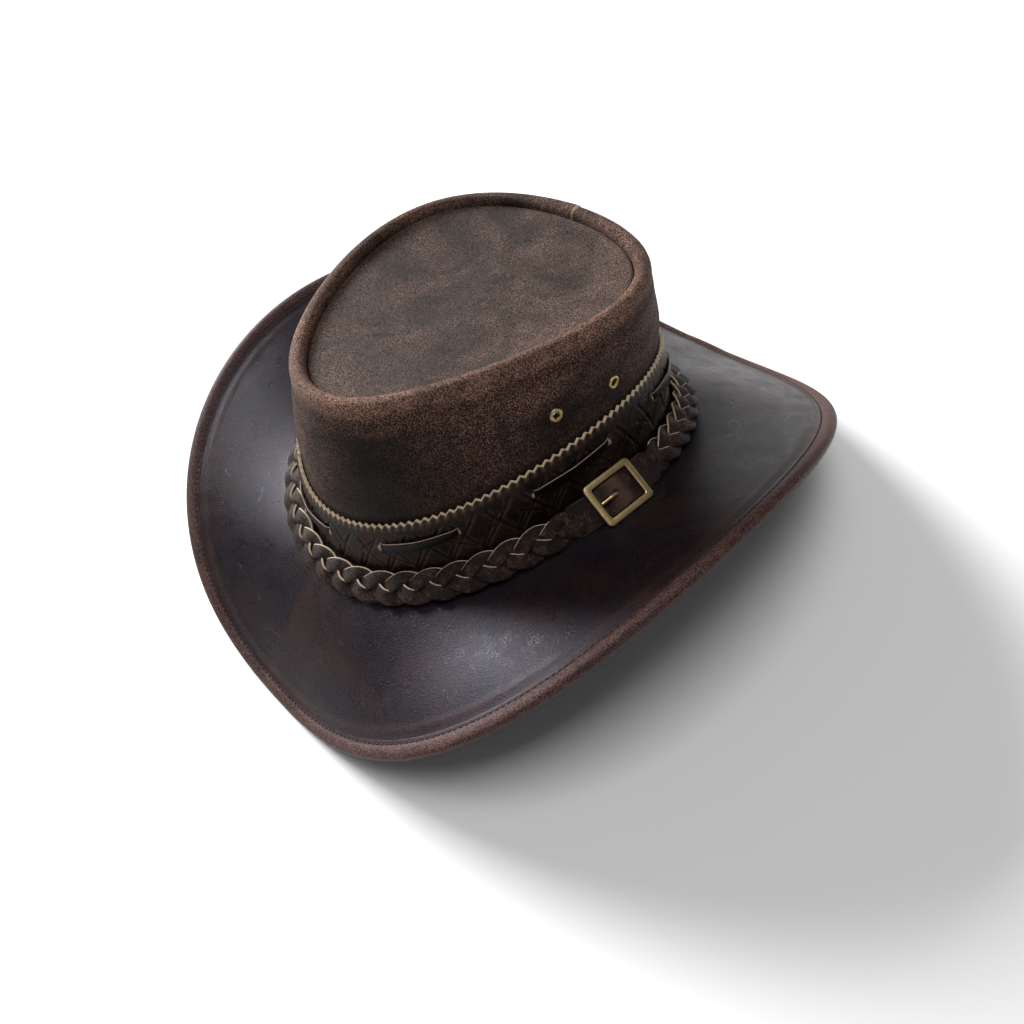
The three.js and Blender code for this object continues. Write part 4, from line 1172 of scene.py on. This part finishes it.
class HAT_OT_lace(bpy.types.Operator):
    """Builds the flat lace that runs in and out of the band"""

    bl_idname = "hat.lace"
    bl_label = "Lace"

    def execute(self, context):
        hat = context.scene.hat
        degrees = np.linspace(LACE_ROUTE["at"][0], LACE_ROUTE["at"][0] + 45, 64, endpoint=False)
        out = np.interp(degrees, LACE_ROUTE["at"], LACE_ROUTE["out"])
        width = np.interp(degrees, LACE_ROUTE["at"], LACE_ROUTE["width"])
        spans = np.arange(LACE_SPANS) * 360 / LACE_SPANS
        t = np.radians((degrees[None, :] + spans[:, None]).ravel())
        out, width = np.tile(out, LACE_SPANS), np.tile(width, LACE_SPANS)
        hidden, shown = -BAND_LEATHER - LACE_CLEAR - LACE_HALF, LACE_CLEAR + LACE_HALF
        middle = band_point(t, LACE_DROP, hidden + (shown - hidden) * out)
        up = unit(band_point(t, LACE_DROP - 2, 0) - band_point(t, LACE_DROP + 2, 0))
        off = beside(band_oval, t, 1, 0) - beside(band_oval, t, 0, 0)
        section = zip(LACE_SECTION["up"], LACE_SECTION["off"])
        points = np.stack([middle + up * (a * width)[:, None] + off * b for a, b in section], axis=1)
        bm, _ = grid_mesh(points, True, True, None, lambda i, j: 1 if j == LACE_CUT_STEP else 0)
        close_seams(bm)
        edge = cut_leather("lace_cut_edge", srgb(LACE_EDGE))
        piece = object_from(bm, "woven_lace", lace_leather(hat.band), edge)
        crisp_edges(piece, math.radians(50))
        settle(piece, "lace_leather", "lace")
        return {"FINISHED"}


# A strand's section: across it as a share of its width, and off its middle as a share of its thickness. Its
# cut edge shows on two steps of the section, but not near the ends, where it runs into the strap.
STRAND_SECTION = {
    "across": [-0.5, -0.46, -0.25, 0, 0.25, 0.445, 0.5, 0.5, 0.44, 0, -0.44, -0.5],
    "off": [0.3, 0.52, 0.64, 0.68, 0.64, 0.54, 0.36, 0.04, -0.5, -0.5, -0.5, -0.35],
}
# Only the upper side's cut edge is pale. The lower side's takes the grain's dark colour: painted shade.
CUT_STEPS = (5, 6)
CUT_FROM_END = 17
STRAND_STEPS = 840
STRAND_TUCK = 5.0  # the strands run this far under the strap
STRAND_END_WIDTH = 0.74
STRAND_TILT = 0.16
STRAND_PARKED = 1.1  # beside each other under the strap, this share of their swing apart
STRAND_DIVE = {"depth": 0.6, "over": 1.2}
STRAP_STEPS = 150
STRAP_ACROSS = 25
STRAP_HOLE = {"along": -1.5, "radius": 1.7, "depth": 1.3, "lip": 0.3}


class HAT_OT_plait(bpy.types.Operator):
    """Builds the three-strand plait and the strap that passes through the buckle"""

    bl_idname = "hat.plait"
    bl_label = "Plait and strap"

    def execute(self, context):
        hat = context.scene.hat
        leather = plait_leather(hat.plait)
        edge = cut_leather("strand_cut_edge", hat.plait.cut)
        for strand in range(3):
            self.strand(hat.plait, strand, leather, edge)
        self.strap(hat.plait, leather)
        return {"FINISHED"}

    def strand(self, settings, strand, leather, edge):
        steps = STRAND_STEPS
        start, end = TAB_END - STRAND_TUCK, PLAIT_ROUND - TAB_END + STRAND_TUCK
        along = np.linspace(start, end, steps)
        share = (along - TAB_END) / (PLAIT_ROUND - 2 * TAB_END)
        turn = 2 * math.pi * (PLAIT_REPEATS * share + strand / 3)
        near = np.clip(np.minimum(share, 1 - share) * PLAIT_REPEATS / 0.3, 0, 1)
        swing = settings.swing / MM
        up = swing * np.sin(turn)
        parked = swing * np.sin(2 * math.pi * strand / 3) * STRAND_PARKED
        tab = np.clip(-np.minimum(share, 1 - share) * (PLAIT_ROUND - 2 * TAB_END) / 3 + 0.4, 0, 1)
        up = up * (1 - tab) + parked * tab
        off = near * settings.weave / MM * np.sin(2 * turn) + 0.25 * (1 - near)
        ends = np.minimum(along - start, end - along)
        off = off - STRAND_DIVE["depth"] * np.exp(-ends / STRAND_DIVE["over"])
        width = settings.strand_width / MM * (STRAND_END_WIDTH + (1 - STRAND_END_WIDTH) * near)
        rise, lift = np.gradient(up, along), np.gradient(off, along)
        middle = plait_point(along, up, off)
        t = np.interp(np.mod(along, PLAIT_ROUND), PLAIT_LENGTHS, PLAIT_ANGLES)
        _, ahead, up_way, off_way = plait_seat(t)
        route = unit(ahead + up_way * rise[:, None] + off_way * lift[:, None])
        side = unit(np.cross(off_way, route))
        tilt = -STRAND_TILT * np.cos(turn) * near
        side = unit(side + off_way * tilt[:, None])
        normal = unit(np.cross(route, side))
        thickness = settings.strand_thickness / MM
        closing = np.clip(np.minimum(np.arange(steps), np.arange(steps)[::-1]) / 2, 0, 1)
        points = np.stack(
            [
                middle + side * (a * width * closing)[:, None] + normal * (b * thickness * closing)[:, None]
                for a, b in zip(STRAND_SECTION["across"], STRAND_SECTION["off"])
            ],
            axis=1,
        )
        wear_and_painted_light = np.zeros(points.shape[:2])
        wear_and_painted_light[:, 7] = 0.3
        shown = range(CUT_FROM_END, steps - 1 - CUT_FROM_END)
        bm, _ = grid_mesh(points, False, True, wear_and_painted_light, lambda i, j: 1 if j in CUT_STEPS and i in shown else 0)
        close_seams(bm)
        piece = object_from(bm, f"plait_strand_{strand + 1}", leather, edge)
        crisp_edges(piece, math.radians(60))
        settle(piece, "plait_leather", "braided_strap")

    def strap(self, settings, leather):
        steps = STRAP_STEPS
        along = np.linspace(-TAB_END, TAB_END, steps)
        shifts = (-2, -1, 0, 1, 2)
        height = sum(np.interp(along + d, STRAP_ROUTE["along"], STRAP_ROUTE["height"]) for d in shifts) / 5
        width = np.interp(along, STRAP_ROUTE["along"], STRAP_ROUTE["width"])
        half = settings.strand_thickness / MM / 2
        across = np.linspace(-0.5, 0.5, STRAP_ACROSS)
        top = [(a, half * (1 - 0.55 * abs(2 * a) ** 6) + 0.25 * (1 - (2 * a) ** 2)) for a in across]
        under = [(a * 0.97, -half) for a in across[::-1]]
        closing = np.clip(np.minimum(np.arange(steps), np.arange(steps)[::-1]) / 2, 0, 1)
        rows = []
        for a, b in top + under:
            hole = np.hypot(along - STRAP_HOLE["along"], a * width) / STRAP_HOLE["radius"]
            dent = STRAP_HOLE["lip"] * np.exp(-((hole - 1.5) ** 2) * 6)
            dent -= STRAP_HOLE["depth"] * np.exp(-(hole**4))
            off = height + (b + (dent if b > 0 else 0)) * closing - 0.2 * (1 - closing)
            rows.append(plait_point(along, a * width * closing, off))
        points = np.stack(rows, axis=1)
        wear_and_painted_light = np.zeros(points.shape[:2])
        wear_and_painted_light[:, [0, STRAP_ACROSS - 1]] = 0.4
        # Paler on top of the bulge in the buckle's window: rub, and a painted highlight on the dome.
        bulge = np.exp(-((along / 5) ** 2))[:, None]
        wear_and_painted_light[:, :STRAP_ACROSS] = np.maximum(wear_and_painted_light[:, :STRAP_ACROSS], 0.55 * bulge)
        bm, _ = grid_mesh(points, False, True, wear_and_painted_light)
        close_seams(bm)
        piece = object_from(bm, "buckled_strap", leather)
        crisp_edges(piece, math.radians(60))
        settle(piece, "plait_leather", "braided_strap")


class HAT_OT_buckle(bpy.types.Operator):
    """Builds the buckle's frame and its tongue"""

    bl_idname = "hat.buckle"
    bl_label = "Buckle"

    def execute(self, context):
        hat = context.scene.hat
        metal = antique_brass(hat.brass)
        self.ring(hat.brass, metal)
        self.tongue(hat.brass, metal)
        return {"FINISHED"}

    def outline(self, bm, length, width, corner):
        """A rectangle with rounded corners, as a loop of edges."""
        made = bmesh.ops.create_grid(bm, x_segments=1, y_segments=1, size=0.5)["verts"]
        bmesh.ops.scale(bm, vec=(length, width, 1), verts=made)
        face = made[0].link_faces[0]
        bevelled = bmesh.ops.bevel(
            bm, geom=made, offset=corner, affect="VERTICES", segments=5, profile=0.5, material=-1
        )
        kept = set(bevelled["verts"])
        faces = [f for f in bm.faces if set(f.verts) <= kept]
        edges = {e for f in faces for e in f.edges}
        bmesh.ops.delete(bm, geom=[face] if face.is_valid else faces, context="FACES_ONLY")
        return list(edges)

    def ring(self, settings, metal):
        length, width, bar = (v / MM for v in (settings.length, settings.width, settings.bar))
        thickness = settings.thickness / MM
        bm = bmesh.new()
        outer = self.outline(bm, length, width, BUCKLE_CORNER)
        inner = self.outline(bm, length - 2 * bar, width - 2 * bar, WINDOW_CORNER)
        bmesh.ops.bridge_loops(bm, edges=outer + inner)
        bmesh.ops.recalc_face_normals(bm, faces=bm.faces)
        flat = list(bm.faces)
        raised = bmesh.ops.extrude_face_region(bm, geom=flat)["geom"]
        moved = [g for g in raised if isinstance(g, bmesh.types.BMVert)]
        bmesh.ops.translate(bm, vec=(0, 0, thickness), verts=moved)
        bmesh.ops.recalc_face_normals(bm, faces=bm.faces)
        worn_and_lit = bm.verts.layers.float.new("wear_and_painted_light")
        sharp = [e for e in bm.edges if e.calc_face_angle(0) > math.radians(60)]
        rounding = {"affect": "EDGES", "segments": 3, "profile": 0.5, "material": -1, "clamp_overlap": True}
        bmesh.ops.bevel(bm, geom=sharp, offset=BUCKLE_BEVEL, **rounding)
        long = [e for e in bm.edges if e.calc_length() > 6]
        bmesh.ops.subdivide_edges(bm, edges=long, cuts=8, use_grid_fill=True)
        points = np.array([v.co[:] for v in bm.verts])
        for vert, (x, y, z) in zip(bm.verts, points):
            middle = max(abs(x) - length / 2 + bar / 2, abs(y) - width / 2 + bar / 2)
            vert[worn_and_lit] = min(1.0, abs(middle) / (bar / 2)) ** 2
        points[:, 2] += BUCKLE_STAND - thickness / 2 - 0.5 * (2 * points[:, 0] / length) ** 2
        placed = at_rest(from_buckle(points))
        for vert, place in zip(bm.verts, placed):
            vert.co = place
        for face in bm.faces:
            face.smooth = True
        bmesh.ops.recalc_face_normals(bm, faces=bm.faces)
        piece = object_from(bm, "buckle_bars", metal)
        crisp_edges(piece, math.radians(35))
        settle(piece, "antique_brass", "buckle_frame")

    def tongue(self, settings, metal):
        steps = 30
        x = np.linspace(-TONGUE_START, TONGUE_SHORT - settings.length / MM / 2, steps)
        share = (x - x[0]) / (x[-1] - x[0])
        z = np.interp(share, TONGUE_ROUTE["share"], TONGUE_ROUTE["height"])
        closing = np.sqrt(np.clip(np.minimum(np.arange(steps), np.arange(steps)[::-1]) / 2.5, 0, 1))
        half_width = (1.0 - 0.15 * share) * closing
        half_height = 0.62 * closing
        rows = []
        for angle in turns(12):
            rows.append(np.stack([x, half_width * np.cos(angle), z + half_height * np.sin(angle)], axis=-1))
        points = from_buckle(np.stack(rows, axis=1))
        bm, _ = grid_mesh(points, False, True, np.full(points.shape[:2], 0.6))
        close_seams(bm)
        piece = object_from(bm, "buckle_tongue", metal)
        settle(piece, "antique_brass", "buckle_prong")


class HAT_OT_eyelets(bpy.types.Operator):
    """Builds the four brass eyelets in the crown"""

    bl_idname = "hat.eyelets"
    bl_label = "Eyelets"

    def execute(self, context):
        hat = context.scene.hat
        metal = antique_brass(hat.brass)
        for row in EYELETS:
            self.eyelet(row, metal)
        return {"FINISHED"}

    def eyelet(self, row, metal):
        t, share = HAT_OT_crown.seat(row)
        step = 1e-3
        along = Vector(at_rest(wall_point(t + step, share))[0] - at_rest(wall_point(t - step, share))[0])
        up = Vector(at_rest(wall_point(t, share + 0.02))[0] - at_rest(wall_point(t, share - 0.02))[0])
        axis = along.cross(up).normalized()
        place = Vector(at_rest(wall_point(t, share))[0])
        matrix = Matrix.Translation(place) @ axis.to_track_quat("Z", "Y").to_matrix().to_4x4()
        radius, half_width, half_height, rise = EYELET_RING.values()
        profile = [
            (radius + half_width * math.cos(a), rise + half_height * math.sin(a))
            for a in np.radians(np.arange(-20, 181, 20))
        ]
        profile += zip(EYELET_BARREL["radius"], EYELET_BARREL["height"])
        bm = bmesh.new()
        worn_and_lit = bm.verts.layers.float.new("wear_and_painted_light")
        verts = [bm.verts.new((r * MM, 0, z * MM)) for r, z in profile]
        edges = [bm.edges.new(pair) for pair in zip(verts, verts[1:] + verts[:1])]
        full_turn = {"cent": (0, 0, 0), "axis": (0, 0, 1), "angle": 2 * math.pi, "use_merge": True}
        bmesh.ops.spin(bm, geom=verts + edges, steps=40, **full_turn)
        bmesh.ops.remove_doubles(bm, verts=bm.verts, dist=1e-6)
        for vert in bm.verts:
            vert[worn_and_lit] = max(0.0, min(0.3, vert.co.z / MM))
        bmesh.ops.recalc_face_normals(bm, faces=bm.faces)
        bmesh.ops.transform(bm, matrix=matrix, verts=bm.verts)
        for face in bm.faces:
            face.smooth = True
        piece = object_from(bm, row["node"] + "_ring", metal)
        crisp_edges(piece, math.radians(50))
        settle(piece, "antique_brass", row["node"])


class HAT_OT_stage(bpy.types.Operator):
    """Builds the pale floor, the softboxes and the camera"""

    bl_idname = "hat.stage"
    bl_label = "Stage"

    def execute(self, context):
        hat = context.scene.hat
        self.floor(hat.stage)
        self.lights(hat.stage)
        self.camera()
        return {"FINISHED"}

    def floor(self, settings):
        bm = bmesh.new()
        bmesh.ops.create_grid(bm, x_segments=1, y_segments=1, size=settings.floor_size / 2)
        object_from(bm, "floor", matt_floor(settings.floor))

    def softbox(self, name, power, place, size):
        light = bpy.data.lights.new(name, "AREA")
        light.shape = "RECTANGLE"
        light.size, light.size_y = size
        light.energy = power
        lamp = bpy.data.objects.new(name, light)
        lamp.location = place
        lamp.rotation_euler = (Vector(LIT_POINT) - Vector(place)).to_track_quat("-Z", "Y").to_euler()
        bpy.context.scene.collection.objects.link(lamp)

    def lights(self, settings):
        self.softbox("key_softbox", settings.key_power, **KEY_SOFTBOX)
        self.softbox("top_softbox", settings.fill_power, **TOP_SOFTBOX)
        world = bpy.data.worlds.new("white_surround")
        world.use_nodes = True
        tree = world.node_tree
        tree.nodes.clear()
        # Pale behind the hat, and dim where it lights it
        seen = add_node(tree, "LightPath", out="Is Camera Ray")
        strength = add_node(tree, "MapRange", {"Value": seen, "To Min": settings.sky, "To Max": BACKDROP})
        glow = add_node(tree, "Background", {"Color": (1.0, 1.0, 1.0, 1.0), "Strength": strength})
        add_node(tree, "OutputWorld", {"Surface": glow})
        bpy.context.scene.world = world
        bpy.context.scene.view_settings.view_transform = "Standard"

    def camera(self):
        turned, raised, roll = CAMERA_AZIMUTH, CAMERA_ELEVATION, CAMERA_ROLL
        level = math.cos(raised)
        back = Vector((math.sin(turned) * level, -math.cos(turned) * level, math.sin(raised)))
        right = Vector((math.cos(turned), math.sin(turned), 0))
        up = back.cross(right)
        right, up = (
            math.cos(roll) * right - math.sin(roll) * up,
            math.sin(roll) * right + math.cos(roll) * up,
        )
        axes = Matrix((right, up, back)).transposed()
        turn = Matrix.Rotation(REST_LEAN, 3, "X") @ axes
        data = bpy.data.cameras.new("camera")
        data.lens = CAMERA_LENS
        data.clip_start = 0.01
        camera = bpy.data.objects.new("camera", data)
        camera.matrix_world = Matrix.Translation(Vector(at_rest(np.array(CAMERA_PLACE)))) @ turn.to_4x4()
        bpy.context.scene.collection.objects.link(camera)
        bpy.context.scene.camera = camera


class HAT_PT_panel(bpy.types.Panel):
    """Lists the pieces of the hat"""

    bl_idname = "HAT_PT_panel"
    bl_label = "Leather Hat"
    bl_space_type = "VIEW_3D"
    bl_region_type = "UI"
    bl_category = "Hat"

    def draw(self, context):
        for operator in OPERATORS:
            self.layout.operator(operator.bl_idname)


GROUPS = (
    CrownSettings,
    BrimSettings,
    BandSettings,
    PlaitSettings,
    BrassSettings,
    StageSettings,
    HatSettings,
)
OPERATORS = (
    HAT_OT_stage,
    HAT_OT_brim,
    HAT_OT_binding,
    HAT_OT_crown,
    HAT_OT_band,
    HAT_OT_lace,
    HAT_OT_plait,
    HAT_OT_buckle,
    HAT_OT_eyelets,
)


def register():
    for cls in (*GROUPS, *OPERATORS, HAT_PT_panel):
        bpy.utils.register_class(cls)
    bpy.types.Scene.hat = bpy.props.PointerProperty(type=HatSettings)


def unregister():
    del bpy.types.Scene.hat
    for cls in reversed((*GROUPS, *OPERATORS, HAT_PT_panel)):
        bpy.utils.unregister_class(cls)


def main():
    register()
    for operator in OPERATORS:
        group, name = operator.bl_idname.split(".")
        getattr(getattr(bpy.ops, group), name)()


if __name__ == "__main__":
    main()
